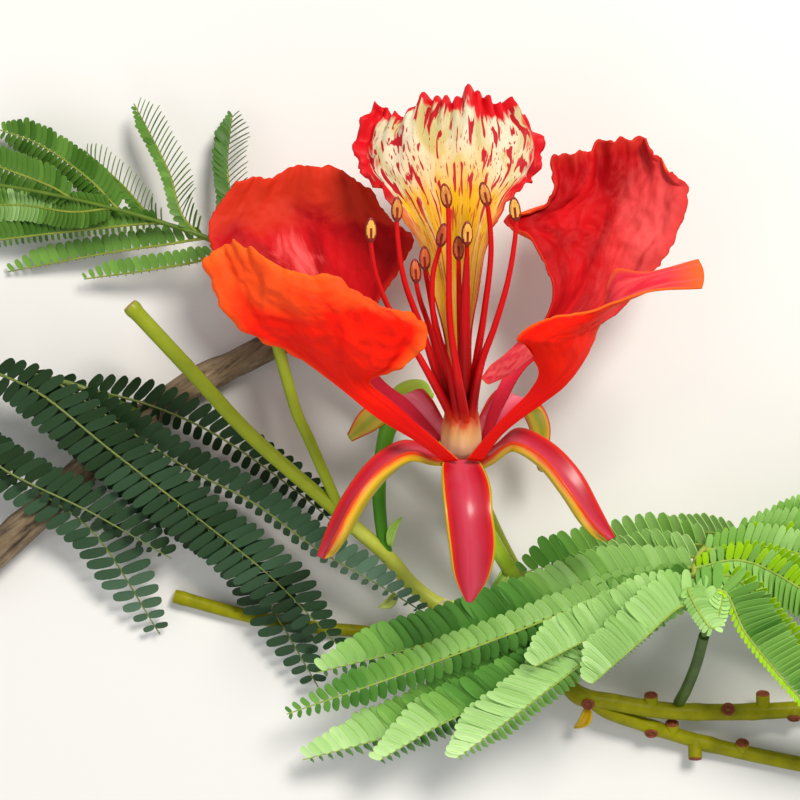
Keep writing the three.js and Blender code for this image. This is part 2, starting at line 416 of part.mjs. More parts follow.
// One pinna: a thin blade cut to the rib between its leaflets. One quad spans the rib from foot to
// foot and one fills each leaflet, so the blade bends along its path without crossing itself
function frond(places, left, right) {
  const path = pathThrough(places);
  const length = path.getLength();
  const pitch = length * 0.86 / TEETH_PER_SIDE;
  const start = length * 0.1;
  const share = (s) => Math.min(1, 0.5 + 3 * s / length, 0.4 + 2.4 * (1 - s / length));
  const side = (sign, reach) => {
    const edge = sign * RIB_HALF_WIDTH;
    const leaflets = Array.from({ length: TEETH_PER_SIDE }, (_, i) => {
      const foot = start + i * pitch;
      const sweep = pitch * 0.3;
      const tip = sign * share(foot) * reach;
      return [[foot, edge], [foot + sweep, tip],
        [Math.min(foot + sweep + pitch * 0.72, length), tip * 0.94]];
    });
    return [[0, edge], ...leaflets.flat(), [start + TEETH_PER_SIDE * pitch, edge], [length, edge * 0.6]];
  };
  const outline = [...side(-1, right), ...side(1, left).reverse()];
  const count = outline.length;
  const mirrored = (i) => count - 1 - i;
  const feet = [0, ...Array.from({ length: TEETH_PER_SIDE + 1 }, (_, i) => 3 * i + 1), count / 2 - 1];
  const rib = feet.slice(1).map((b, i) => [feet[i], b, mirrored(b), mirrored(feet[i])]);
  const leaflets = feet.slice(1, -2).flatMap((foot) => {
    const quad = [foot, foot + 1, foot + 2, foot + 3];
    return [quad, quad.map(mirrored).reverse()];
  });
  const quads = [...rib, ...leaflets];
  const upper = quads.flatMap(([a, b, c, d]) => [a, b, c, a, c, d]);
  const lower = quads.flatMap(([a, b, c, d]) => [a, c, b, a, d, c]).map((i) => i + count);
  const walls = outline.flatMap((_, i) => {
    const next = (i + 1) % count;
    return [i + count, next + count, next, i + count, next, i];
  });
  const up = new THREE.Vector3(0, 0, 1);
  const corners = [0.5, -0.5].flatMap((face) => outline.map(([along, across]) => {
    const at = THREE.MathUtils.clamp(along / length, 0, 1);
    const forward = path.getTangentAt(at);
    const sideways = up.clone().cross(forward).normalize();
    const normal = forward.clone().cross(sideways);
    return path.getPointAt(at)
      .addScaledVector(sideways, across)
      .addScaledVector(normal, face * FROND_THICKNESS);
  }));
  const geometry = new THREE.BufferGeometry().setFromPoints(corners);
  geometry.setIndex([...upper, ...lower, ...walls]);
  return toSolid(geometry);
}

// The bloom's own directions: its axis leans from the banner side toward the viewer
const bloomAxis = new THREE.Vector3(0, Math.cos(BLOOM_TILT), Math.sin(BLOOM_TILT));
const standUp = new THREE.Quaternion().setFromUnitVectors(new THREE.Vector3(0, 1, 0), bloomAxis);

function turned(profile, sides) {
  const geometry = new THREE.LatheGeometry(profile.map(([r, h]) => new THREE.Vector2(r, h)), sides);
  geometry.applyQuaternion(standUp);
  geometry.translate(...BLOOM_CENTRE);
  return toSolid(geometry);
}

function cup(clearance = 0) {
  const top = -2 * GAP + clearance;
  const foot = -CUP_HEIGHT - clearance;
  return turned([[0, foot], [2.2 + clearance, foot], [4.6 + clearance, -CUP_HEIGHT * 0.62 - clearance],
    [CUP_RADIUS + clearance, -1.9 - clearance], [CUP_RADIUS + clearance, top], [0, top]], 20);
}

function column() {
  const [foot, top] = COLUMN_RADIUS;
  return turned([[0, -GAP], [foot, -GAP], [foot * 0.86, COLUMN_HEIGHT * 0.35], [top, COLUMN_HEIGHT],
    [0, COLUMN_HEIGHT]], 20);
}

function anther(middle, toward) {
  const geometry = new THREE.SphereGeometry(1, 6, 5);
  geometry.scale(...ANTHER_SIZE);
  const lean = new THREE.Vector3(toward.x, toward.y, toward.z * 0.4).normalize();
  const upright = new THREE.Vector3(0, 1, 0);
  geometry.applyQuaternion(new THREE.Quaternion().setFromUnitVectors(upright, lean));
  geometry.translate(...middle);
  return toSolid(geometry);
}

function stamen(places) {
  const path = places.slice(0, -1);
  const middle = places.at(-1);
  const last = vector(path.at(-1));
  const toward = vector(middle).sub(last);
  const filament = limb([...path, middle], FILAMENT_ROOT_RADIUS, FILAMENT_TIP_RADIUS, 6, 7);
  return filament.add(anther(middle, toward));
}

// A scar on its low nub: a short stub from the axis's middle to the scar's face
function scar([foot, top]) {
  const from = vector(foot);
  const way = vector(top).sub(from);
  const height = way.length();
  const geometry = new THREE.CylinderGeometry(SCAR_RADIUS, SCAR_RADIUS * 1.15, height, 8, 1);
  geometry.translate(0, height / 2, 0);
  const upright = new THREE.Vector3(0, 1, 0);
  geometry.applyQuaternion(new THREE.Quaternion().setFromUnitVectors(upright, way.normalize()));
  geometry.translate(...foot);
  return toSolid(geometry);
}

function stem(name, clearance = 0) {
  const { path, radii } = STEMS[name];
  return limb(path, radii[0] + clearance, radii[1] + clearance);
}

// A stem's solid with its scars, its root cut 0.3 mm clear of what carries it
function seated(name, carriers) {
  const scars = (SCARS[name] ?? []).map(scar);
  const whole = wasm.Manifold.union([stem(name), ...scars]);
  return carriers.reduce((left, carrier) => largestPart(left.subtract(stem(carrier, GAP))), whole);
}

function leaf(name, stalk) {
  const { rachis, radii, pinnae } = LEAVES[name];
  const midrib = limb(rachis, radii[0], radii[1], 6, 10);
  const fronds = Object.values(pinnae).map(([places, left, right]) => frond(places, left, right));
  return wasm.Manifold.union([midrib, ...fronds]).subtract(stem(stalk, GAP));
}

const sprig = new THREE.Group();
const add = (name, solid, material) => sprig.add(toMesh(name, solid, material));

// Wood, stalks and axes
const CARRIED_BY = {
  woody_twig: [],
  peduncle: ['woody_twig'],
  raceme_axis: ['peduncle'],
  lower_axis: ['raceme_axis'],
  side_axis: ['peduncle'],
  long_bare_pedicel: ['side_axis'],
  rear_pedicel: ['long_bare_pedicel', 'side_axis'],
  green_pedicel: ['side_axis'],
  bloom_pedicel: ['peduncle'],
  lower_bare_pedicel: ['peduncle', 'raceme_axis'],
  right_leaf_stalk: ['raceme_axis'],
  left_leaf_stalk: ['woody_twig'],
  upper_leaf_stalk: ['woody_twig', 'peduncle'],
};
for (const [name, carriers] of Object.entries(CARRIED_BY)) {
  add(name, seated(name, carriers), name === 'woody_twig' ? barkBrown : stemGreen);
}

// The bloom
const cupSolid = cup();
add('flower_cup', cupSolid.subtract(stem('bloom_pedicel', GAP)), stemGreen);
const columnSolid = column();
add('pale_column', columnSolid, columnCream);
for (const [name, stations] of Object.entries(SEPALS)) {
  add(`sepal_${name}`, blade(stations, SEPAL_THICKNESS, 4, 9, 0.4, 0.5).subtract(cup(GAP)), sepalCrimson);
}
const petalFinish = { banner: bannerCream, rear_left: darkRed, rear_right: darkRed };
for (const [name, stations] of Object.entries(PETALS)) {
  const sheets = [blade(stations, PETAL_THICKNESS, 8, 11)];
  if (FLAPS[name]) sheets.push(blade(FLAPS[name], PETAL_THICKNESS, 3, 4));
  const whole = wasm.Manifold.union(sheets).subtract(cup(GAP));
  add(`petal_${name}`, whole, petalFinish[name] ?? orangeRed);
}
STAMENS.forEach((places, i) => {
  add(`stamen_${String(i + 1).padStart(2, '0')}`, stamen(places), filamentRed);
});
add('pistil', limb(PISTIL, ...PISTIL_RADIUS, 8, 8), filamentRed);

// The leaves
add('right_leaf', leaf('right_leaf', 'right_leaf_stalk'), leafGreen);
add('left_leaf', leaf('left_leaf', 'left_leaf_stalk'), shadedLeaf);
add('upper_left_leaf', leaf('upper_left_leaf', 'upper_leaf_stalk'), leafGreen);

// The origin goes under the middle of the sprig's box
const box = new THREE.Box3().setFromObject(sprig, true);
const middle = box.getCenter(new THREE.Vector3());
sprig.position.set(-middle.x, -middle.y, -box.min.z);
sprig.updateMatrixWorld(true);

export default sprig;
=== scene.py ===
"""A flowering sprig of royal poinciana, as cut, lying on a pale table."""

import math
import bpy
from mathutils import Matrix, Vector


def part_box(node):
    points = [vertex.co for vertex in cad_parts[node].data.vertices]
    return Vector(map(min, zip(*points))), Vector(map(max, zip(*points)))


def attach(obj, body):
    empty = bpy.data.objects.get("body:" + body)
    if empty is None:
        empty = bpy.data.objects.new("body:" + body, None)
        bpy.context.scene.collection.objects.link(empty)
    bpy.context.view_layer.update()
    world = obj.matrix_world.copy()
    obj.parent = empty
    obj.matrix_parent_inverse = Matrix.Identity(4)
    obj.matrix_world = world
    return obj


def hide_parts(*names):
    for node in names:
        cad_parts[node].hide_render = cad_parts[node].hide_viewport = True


bl_info = {
    "name": "Royal poinciana sprig",
    "version": (1, 0, 0),
    "blender": (4, 5, 0),
    "location": "View3D > Sidebar > Sprig",
    "description": "Models a cut flowering sprig: bloom, stalks, scarred axes and feathery leaves",
    "category": "Object",
}

import bmesh
import bpy
import numpy as np
from mathutils import Vector, noise

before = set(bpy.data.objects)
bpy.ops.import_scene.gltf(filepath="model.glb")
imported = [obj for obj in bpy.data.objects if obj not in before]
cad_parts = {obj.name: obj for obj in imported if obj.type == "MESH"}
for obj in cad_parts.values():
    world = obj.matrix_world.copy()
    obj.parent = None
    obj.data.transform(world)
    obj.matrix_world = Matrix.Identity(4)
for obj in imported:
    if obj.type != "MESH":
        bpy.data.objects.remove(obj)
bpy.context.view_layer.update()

# Millimetres in a metre: the layout is in millimetres, the scene in metres
MM = 1000
FULL_TURN = 2 * math.pi
UP = np.array((0.0, 0.0, 1.0))
TINY = 1e-9

# Layout of the sprig, in millimetres. x runs right, y toward the banner petal, z up from the table.
BLOOM_CENTRE = (12.2, -9.2, 32)
BLOOM_TILT = math.radians(35)
BLOOM_AXIS = np.array((0, math.cos(BLOOM_TILT), math.sin(BLOOM_TILT)))

# The pale column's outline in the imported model, then the column's and the cup's here: radii, heights
COLUMN_PROFILE = ((0, -0.3), (4.0, -0.3), (3.44, 2.24), (2.7, 6.4), (0, 6.4))
COLUMN_TURNING = ((1.4, -2.9), (2.7, -1.5), (3.9, 0.4), (4.15, 2.4), (3.95, 4.0), (3.7, 5.6), (3.45, 7.2),
                  (3.1, 8.6), (1.8, 9.4))
CUP_TURNING = ((2.2, -5.4), (3.2, -4.6), (4.2, -3.4), (4.8, -2.6), (4.9, -2.0), (4.4, -1.6))

# Petals: stations from the claw's foot to the ruffled rim, each with places across the blade
PETALS = {
    "banner": (
        ((11.3, -6.7, 28.4), (11.8, -6.6, 28.2), (12.3, -6.6, 28.1), (12.8, -6.6, 28.2),
         (13.3, -6.7, 28.4)),
        ((9.8, 0.8, 33.2), (10.9, 0.8, 32.2), (12, 0.8, 31.8), (13.1, 0.8, 32.2), (14.2, 0.8, 33.2)),
        ((8.9, 11.8, 38.8), (10.3, 11.7, 36.9), (11.7, 11.9, 36.3), (12.9, 12.3, 36.9), (14, 13, 38.8)),
        ((6.5, 21.1, 41.8), (9, 21.2, 40.3), (11.4, 21.2, 39.5), (13.5, 21.2, 40.3), (15.3, 21.1, 41.8)),
        ((3.9, 30, 43.4), (7.4, 30.1, 42.5), (10.8, 30.1, 41.6), (14.3, 30.1, 42.5), (17, 30.4, 43.4)),
        ((-1.6, 38.7, 42), (4.7, 38.4, 43.5), (10.3, 38.6, 43.2), (16.2, 38.6, 43.5), (21.1, 39.3, 42)),
        ((-6.5, 44.2, 37.5), (2.3, 45.4, 42), (9.9, 45.6, 43), (18, 45.7, 42), (26.3, 44.2, 37.5)),
        ((-8.4, 51.3, 34.5), (1.6, 51.6, 39), (9.6, 52.2, 40), (18.5, 51.6, 39), (27.8, 50.9, 34.5)),
        ((-4.8, 57.5, 32.5), (3.2, 57.7, 34.5), (10.6, 60.7, 34), (17.5, 60.3, 34.5), (23.4, 57.9, 32.5)),
    ),
    "rear_left": (
        ((7.4, -8.9, 31.8), (7.6, -8.6, 31.3), (7.8, -8.2, 30.8), (8, -7.9, 30.3), (8.2, -7.5, 29.8)),
        ((0, -2.4, 32.2), (0.5, -1.9, 31.8), (1, -1.4, 31.4), (1.5, -0.9, 31.1), (2, -0.4, 30.8)),
        ((-7.4, 3.6, 31.2), (-6.8, 4.2, 30.4), (-6.2, 4.8, 30), (-5.6, 5.4, 30), (-5, 6, 30.5)),
        ((-15.7, 9.7, 29.5), (-13.2, 10.9, 28.2), (-10.7, 12.5, 28), (-8.2, 14.4, 28.8),
         (-5.6, 16.5, 30.5)),
        ((-27.8, 19.4, 28), (-20.3, 21.9, 26), (-15.2, 24.4, 25.5), (-8.1, 24.7, 27), (-0.6, 25.3, 30.5)),
        ((-37.1, 29.1, 28), (-28, 31.3, 25), (-19.3, 33, 24), (-8.1, 32.4, 26), (2.8, 32.2, 29.5)),
        ((-38.6, 35.2, 27), (-28.9, 38.2, 24.5), (-20.4, 39.7, 23.5), (-10.2, 38.2, 25),
         (-1.2, 35.6, 27.5)),
        ((-33.2, 43.9, 26.5), (-26.8, 45.4, 24.5), (-19.5, 47.4, 24.5), (-12.2, 46.7, 25),
         (-5.9, 42.1, 26.5)),
    ),
    "rear_right": (
        ((16.4, -7.7, 29.8), (16.6, -8, 30.3), (16.8, -8.4, 30.8), (16.9, -8.7, 31.3),
         (17.1, -9.1, 31.8)),
        ((18.7, 0.2, 30.8), (19.1, -0.1, 31.1), (19.6, -0.4, 31.4), (20.2, -0.7, 31.8), (20.8, -1, 32.2)),
        ((22.9, 8.6, 30.5), (23.6, 8.2, 30), (24.3, 7.8, 30), (25, 7.4, 30.4), (25.6, 7, 31.2)),
        ((29.3, 16.5, 30.5), (30.1, 15.7, 29.1), (31.2, 14.7, 28.5), (32.7, 13.5, 28.6),
         (34.4, 12.1, 29.5)),
        ((30.7, 22.7, 30), (34.3, 23, 28), (37.5, 22.3, 26.5), (40.9, 20.2, 27), (43.9, 17.7, 29)),
        ((27.2, 30.2, 29.5), (33.4, 31.2, 26), (40.3, 32.5, 24.5), (46.7, 30.4, 25.5),
         (50.8, 26.6, 28.5)),
        ((21, 36, 27.5), (30.8, 35.7, 25.5), (41.1, 38.3, 24), (49.2, 36.2, 25), (54.9, 32.3, 28)),
        ((29.7, 40.4, 27.5), (36.2, 42.7, 25), (43.2, 45.2, 23.5), (50.8, 44.7, 25), (57.7, 42, 28)),
        ((30.8, 49, 26.5), (37, 50.4, 25), (43.1, 52.9, 24.5), (49.7, 52.6, 25.5), (55.3, 46, 28)),
    ),
    "front_left": (
        ((8.4, -10.9, 34.6), (8.8, -11.1, 34.9), (9.3, -11.3, 35.2), (9.8, -11.5, 35.5),
         (10.3, -11.7, 35.8)),
        ((3.1, -8, 41), (3.7, -7.6, 41.4), (4.2, -7.1, 41.6), (4.7, -6.7, 41.8), (5.3, -6.3, 41.8)),
        ((-4.3, -3.5, 44.6), (-3.5, -2.7, 45.1), (-2.7, -1.9, 45.4), (-2, -1.2, 45.6),
         (-1.4, -0.4, 45.6)),
        ((-12.2, 2.9, 46.5), (-10.5, 3.1, 47.4), (-8.9, 3.3, 48), (-7.3, 3.5, 48.2), (-5.8, 3.7, 48)),
        ((-21.1, 9.8, 50), (-15.6, 9.2, 52.5), (-10.3, 8.2, 54), (-4.9, 7.2, 54), (-0.4, 6.5, 52)),
        ((-29.4, 13.9, 52.5), (-21.9, 15.1, 57), (-14.1, 15.4, 60), (-4.5, 14.7, 59), (4.6, 12.9, 55)),
        ((-34.7, 20.6, 53), (-28.2, 22.2, 58), (-18.6, 20.1, 62), (-9, 19.1, 61), (0.9, 14.8, 55.5)),
        ((-37.1, 26.4, 52), (-30.7, 29.7, 56), (-20.6, 23.9, 61), (-11.2, 22.1, 60), (-3.8, 15.9, 55.5)),
    ),
    "front_right": (
        ((13.9, -11.7, 35.8), (14.4, -11.5, 35.5), (14.9, -11.3, 35.2), (15.4, -11.1, 34.9),
         (15.9, -10.9, 34.6)),
        ((18.6, -5.1, 41.8), (19, -5.4, 41.8), (19.5, -5.7, 41.6), (19.9, -6, 41.4), (20.4, -6.3, 41)),
        ((25.2, 1.9, 45.6), (25.9, 1.4, 45.6), (26.6, 0.8, 45.4), (27.3, 0.2, 45.1), (28, -0.4, 44.6)),
        ((26.7, 5.6, 49), (28.1, 5, 49.1), (29.5, 4.4, 48.5), (30.9, 3.9, 47.3), (32.4, 3.3, 45.5)),
        ((24.2, 9.5, 53), (27.2, 8.9, 53.5), (30.6, 8, 52), (33.5, 7.5, 49), (36, 8.5, 46)),
        ((22.4, 11.9, 55.5), (25.9, 11.7, 57), (29.7, 11.7, 56.5), (33.8, 11.6, 52.5), (37.9, 13.5, 47)),
        ((28.2, 15.3, 58), (31.3, 14.1, 58), (34.7, 13.8, 55), (38.1, 15.4, 49), (39.9, 18.2, 45.5)),
        ((34.6, 16.4, 58.5), (36.8, 15.9, 56.5), (38.9, 16.4, 52.5), (40.2, 18.5, 48.5),
         (40.3, 21.7, 46)),
        ((40.7, 18.3, 58), (42.1, 18.6, 55), (43, 19.7, 51.5), (42.8, 21.5, 49.5), (41.6, 25.1, 48)),
        ((47.3, 20.6, 56), (48.2, 21.1, 53.5), (48.3, 22.2, 52), (48.1, 23.5, 51), (47, 24.5, 50.5)),
        ((57.5, 21.3, 53.5), (58, 22.7, 52.3), (58.1, 24.3, 51.5), (57.8, 25.6, 51.2), (57.1, 27, 51)),
    ),
}

# The two corners at which each front petal's claw ends, over the column's foot
CLAW_ENDS = {"front_left": ((8.7, -12.1, 37.7), (11.5, -11.8, 38.4)),
             "front_right": ((16.1, -12.0, 37.7), (13.2, -11.7, 38.4))}

# How each petal is made: its slot and seed, its ruffle as a share of the usual one, its wrinkles in mm, its
# crimping as a share of its ruffle, the depth of its ragged edge in mm, and its grid
PETAL_MAKES = {
    "banner": ("banner", 3, 1.1, 0.26, 0.6, 0.5, (96, 120)),
    "rear_left": ("rear_petal", 11, 0.45, 0.34, 0.15, 0.3, (90, 120)),
    "rear_right": ("rear_petal", 12, 1.0, 0.75, 0.15, 0.3, (90, 120)),
    "front_left": ("front_petal", 21, 0.8, 0.62, 0.3, 0.3, (90, 120)),
    "front_right": ("front_petal", 22, 0.5, 0.62, 0.3, 0.3, (90, 120)),
}

# Waves of a petal's margin: height, turns across the blade and radians along it
WAVES = ((1, 3.1, 2.2), (0.6, 6.3, -5), (0.5, 0.6, 4.5 * FULL_TURN))

# The notched outline of a petal's end is the sum of this many waves
NOTCH_WAVES = 14

# Layers of creases in a petal's blade and its torn edge in mm, and in the bark in metres: each layer's
# height, its stretch, its size in mm and its seed
EVEN = (1, 1, 1)
PETAL_FOLDS = ((0.8, (1, 0.75, 1), 8.0, 0), (0.5, EVEN, 3.4, 3), (0.22, EVEN, 1.4, 5))
PETAL_JAGS = ((1, EVEN, 2.4, 9), (0.6, EVEN, 1.2, 11))
BARK_RELIEF = ((0.00016, (0.16, 1, 1), 1.7, 5), (0.00035, (0.5, 1, 1), 6.0, 6))

# Sepals: stations from the foot to the tip, each with both margins and the middle
SEPALS = {
    "front": (
        ((15.2, -12.5, 36.6), (12.1, -12.7, 37), (9.1, -12.4, 37.6)),
        ((17.3, -16.7, 40.8), (12.7, -17, 41), (8.6, -16.6, 43)),
        ((18.1, -21.8, 43.4), (13.1, -22.2, 43.4), (8.7, -21.7, 46.2)),
        ((18.7, -28.3, 43.4), (13.6, -28.8, 43.4), (9.5, -28.1, 46.2)),
        ((17.4, -34.6, 41.8), (13.9, -35.2, 42), (10.5, -34.4, 44)),
        ((14.5, -39.3, 40), (13.7, -39.7, 40.1), (12.7, -39.2, 40.6)),
    ),
    "front_left": (
        ((7.4, -11.7, 34.1), (6.8, -10.8, 32.7), (6, -9.4, 31.9)),
        ((1.8, -10.3, 39.5), (1.8, -10.4, 36.1), (0.8, -8.3, 33.7)),
        ((-3.5, -13, 43.6), (-3.2, -13.6, 39.6), (-5.1, -11, 37.2)),
        ((-8.3, -18.3, 46.5), (-7.5, -18.8, 42.4), (-10.6, -17.7, 39.9)),
        ((-12.2, -25.4, 46), (-11.7, -25.8, 42.6), (-14.3, -25, 40.4)),
        ((-14.7, -31.1, 41.7), (-15.4, -30.9, 40.9), (-16.3, -30.6, 40.3)),
    ),
    "front_right": (
        ((18.8, -9.4, 31.9), (17.9, -10.8, 32.7), (17.3, -11.7, 34.1)),
        ((23.3, -5.9, 33.8), (22.4, -8.3, 36), (22.2, -8.4, 39.4)),
        ((29.8, -8.2, 37.4), (28.1, -11.4, 39.3), (27.9, -11.2, 43.4)),
        ((35.3, -13.9, 40.1), (32.7, -16.9, 42), (32.3, -16.8, 46.3)),
        ((39.4, -21.4, 40.6), (36.8, -23.1, 42.3), (36.6, -22.9, 45.8)),
        ((42.2, -26.9, 40.2), (41.4, -27.3, 40.9), (40.7, -27.6, 41.8)),
    ),
    "rear_left": (
        ((7.4, -7.4, 29), (8.4, -6.1, 27.6), (9.3, -5.3, 26.2)),
        ((2.8, -4.1, 25.5), (4.7, -1.8, 24.4), (6.5, 0, 25.5)),
        ((-0.8, -1, 21.4), (1.4, 0.8, 20.6), (4.1, 2.3, 21.8)),
        ((-4.5, 0, 17.8), (-2.3, -0.8, 17.4), (0, -2.1, 17.4)),
        ((-8.3, -2.5, 15.8), (-6.4, -4.2, 15.2), (-4.6, -6, 15)),
        ((-11, -7.1, 14.8), (-10.6, -7.9, 14.6), (-10, -8.7, 14.6)),
    ),
    "rear_right": (
        ((15.4, -5.3, 26.2), (16.3, -6.1, 27.6), (17.1, -7.4, 29)),
        ((17.9, 0, 25.5), (19.7, -1.8, 24.4), (21.5, -4.1, 25.5)),
        ((20.5, 2.3, 21.8), (23.2, 0.8, 20.6), (25.4, -1, 21.4)),
        ((24.8, -2.1, 17.4), (27.1, -1.2, 17.2), (29.1, -1, 17.6)),
        ((27, -6.6, 15.2), (29.3, -5.6, 15), (31.1, -5, 15.6)),
        ((27.4, -10.8, 14.4), (29.3, -10.4, 14.4), (31, -10, 14.8)),
        ((28.7, -14.6, 14.2), (29.5, -15, 14.2), (30.4, -14.6, 14.3)),
    ),
}

# Small flaps that fold back from a petal's edge, and how they are made: seed, ruffle, wrinkles, crimping,
# ragged edge and grid
FLAP_MAKE = (9, 0.2, 0.1, 0, 0.3, (16, 24))
FLAPS = {
    "front_right": (
        ((22.8, 11.4, 55), (23.4, 10.8, 55.2), (24.1, 10.1, 55), (24.7, 9.3, 54.4), (25.3, 8.4, 53.4)),
        ((19.6, 8.4, 52.5), (20.2, 7.9, 52.7), (20.8, 7.2, 52.6), (21.5, 6.5, 52.2), (22.2, 5.7, 51.6)),
        ((17.4, 6.7, 50.6), (18, 6, 50.7), (18.6, 5.4, 50.6), (19.2, 4.8, 50.4), (20, 4.4, 50)),
        ((15.8, 4.4, 49), (15.9, 4, 49), (16.2, 3.7, 49), (16.6, 3.3, 48.9), (17.1, 3.1, 48.8)),
    ),
}

# Filaments: each path from the pale column, with the anther's middle last
STAMENS = (
    ((10.5, -4.2, 37.1), (6, 4.3, 45), (2.3, 10.6, 46.5), (-1.5, 16.4, 47.5), (-4.6, 24, 49),
     (-5.6, 30.1, 50), (-5.6, 32.6, 50.4)),
    ((10.1, -3.5, 36), (7, 5.5, 43), (4.3, 13.5, 47), (0.8, 23, 50), (-0.4, 30.6, 51.5),
     (-0.6, 34, 52), (-0.6, 36.4, 52.4)),
    ((10.5, -2.7, 35), (8.2, 5.5, 40.6), (5.6, 14.6, 43.6), (3.9, 19.4, 44.8), (3.2, 22.5, 45.6),
     (3, 25, 46)),
    ((11.5, -2.3, 34.3), (9.1, 6.7, 38.8), (6.8, 15.6, 42.4), (5.6, 21.4, 45), (4.9, 25, 46.4),
     (4.8, 27.4, 47.2)),
    ((11.5, -4.6, 37.7), (9.3, 6.6, 45.6), (6.5, 15.8, 48.4), (6.3, 24, 49.8), (7.6, 29.2, 50),
     (8.1, 31.6, 50.2)),
    ((12.9, -4.6, 37.7), (11.2, 4.2, 47.6), (9.5, 15.3, 52), (9.3, 27.6, 54), (9.1, 36.4, 55.2),
     (8.7, 38.7, 55.4)),
    ((12.9, -2.3, 34.3), (12.2, 5.5, 40.8), (11.6, 15.5, 45), (11.4, 22.2, 47), (11.3, 26.6, 48.8),
     (11.2, 29.2, 49.2)),
    ((13.7, -2.6, 34.8), (13.1, 5.5, 42.2), (13, 15.5, 46.2), (12.9, 24, 49.6), (12.8, 28.7, 51.4),
     (12.8, 31.8, 52.7)),
    ((14.3, -3.5, 36.1), (14.8, 6.6, 42.6), (16.2, 16.4, 47), (17.4, 28.7, 51.5), (16.7, 36.5, 54),
     (16.1, 39.1, 54.4)),
    ((13.9, -4.2, 37.1), (15.7, 7, 45.6), (18.3, 14.4, 48.6), (20.9, 23.8, 50.5), (22.2, 33.8, 52),
     (21.9, 36.4, 52.4)),
)
PISTIL = ((12.2, -3.5, 36), (12.1, 0.4, 41), (12.4, 7.4, 46.2), (12.4, 15.4, 50),
          (12.6, 22.9, 52.4), (12.7, 27.2, 53.4))

# Radii of a filament and of the pistil from root to tip, in mm
FILAMENT_RADII = (1.1, 1.0, 0.78, 0.66, 0.58, 0.5, 0.42)
PISTIL_RADII = (0.75, 1.0, 1.2, 1.15, 0.9, 0.5)

# The stamens whose anthers have shed their red, by number
GOLDEN_ANTHERS = (1, 8, 10)
AMBER_ANTHERS = (2, 6, 9)

# The rounded end of the green pedicel, beyond its path
BUD_TIP = (7.0, 0.8, 14.6)

# Stalks, axes and the twig: the path from the root end, and the radius at both ends
STEMS = {
    "woody_twig": {
        "path": ((-94.4, -39.9, 5.2), (-79.5, -26.5, 5.2), (-49.9, -0.4, 5), (-25.5, 12.7, 4.8),
                 (-5.9, 23.4, 4.5)),
        "radii": (3.3, 2.7),
    },
    "peduncle": {
        "path": ((-22.9, 14, 5), (-14.7, 8.4, 8.2), (-6.3, 1.9, 9.5), (6.3, -8.4, 10),
                 (14.3, -17.2, 10), (21, -30.5, 9), (28.2, -44.2, 8.5), (35, -59.9, 8)),
        "radii": (2.0, 1.8),
    },
    "raceme_axis": {
        "path": ((35, -59.9, 8), (38, -62.4, 7.8), (44.7, -63.7, 7.5), (55.6, -65.6, 6.5),
                 (68.7, -66.2, 5), (85.1, -65.8, 3.4), (102.4, -64, 2.6)),
        "radii": (1.85, 1.75),
    },
    "lower_axis": {
        "path": ((40.1, -63.1, 7.6), (43.6, -65.8, 6.6), (51.3, -68.7, 5), (60.2, -71.7, 3.4),
                 (67.4, -73.8, 2.6), (85.4, -77.7, 2.1), (99.3, -80.1, 2)),
        "radii": (1.5, 1.7),
    },
    "side_axis": {
        "path": ((31.8, -52.3, 8.2), (26.1, -49.3, 8.6), (18.9, -45.4, 9.8), (9.4, -43.6, 10.5),
                 (2.5, -38.7, 11), (-2.3, -33, 12), (-10, -26, 13.5)),
        "radii": (1.7, 1.6),
    },
    "long_bare_pedicel": {
        "path": ((-10, -26, 13.5), (-14.1, -22.2, 14.5), (-30.9, -7.2, 18), (-42.9, 6.1, 22),
                 (-54.7, 19.1, 26)),
        "radii": (1.45, 1.6),
    },
    "rear_pedicel": {
        "path": ((-11.7, -24.6, 13.9), (-15.1, -16.6, 16.6), (-18.7, -8.2, 18.6), (-21.2, -2.7, 19.6),
                 (-23.2, 4.1, 20), (-25.5, 12.7, 20)),
        "radii": (1.1, 1.25),
    },
    "green_pedicel": {
        "path": ((-2.5, -33.4, 12), (-3.8, -27.1, 12.8), (-4.4, -18.1, 13.5), (-3.8, -12.1, 13.4),
                 (-2.7, -6.7, 13.4), (-1, -2.1, 13.9), (1.2, 0.6, 14.3), (4.2, 1.5, 14.5)),
        "radii": (1.15, 2.0),
    },
    "bloom_pedicel": {
        "path": ((12.6, -13, 25.6), (13.4, -16.2, 25.5), (16.3, -23.8, 23.5), (21.4, -33, 18.5),
                 (25.9, -40.5, 12.5), (28.4, -44.6, 8.6)),
        "radii": (1.7, 1.5),
    },
    "lower_bare_pedicel": {
        "path": ((35, -59.5, 7.8), (29.6, -58.9, 6), (14.9, -54.8, 3), (-5.3, -49.8, 1.8),
                 (-16.9, -48.7, 1.7), (-31.2, -46.4, 1.7), (-48.1, -41.9, 1.7)),
        "radii": (1.2, 1.45),
    },
    "right_leaf_stalk": {
        "path": ((59, -63.9, 6.6), (59.6, -60.5, 13), (60.3, -53.8, 24), (60.6, -47, 33.5)),
        "radii": (1.25, 1.1),
    },
    "left_leaf_stalk": {
        "path": ((-53.9, -3.8, 4.8), (-57.1, -2.1, 9.6), (-61.9, 0.6, 12)),
        "radii": (1.3, 1.1),
    },
    "upper_leaf_stalk": {
        "path": ((-22.9, 14, 4.6), (-23.9, 18.9, 9.6), (-28.9, 25.1, 11)),
        "radii": (1.2, 1.0),
    },
}

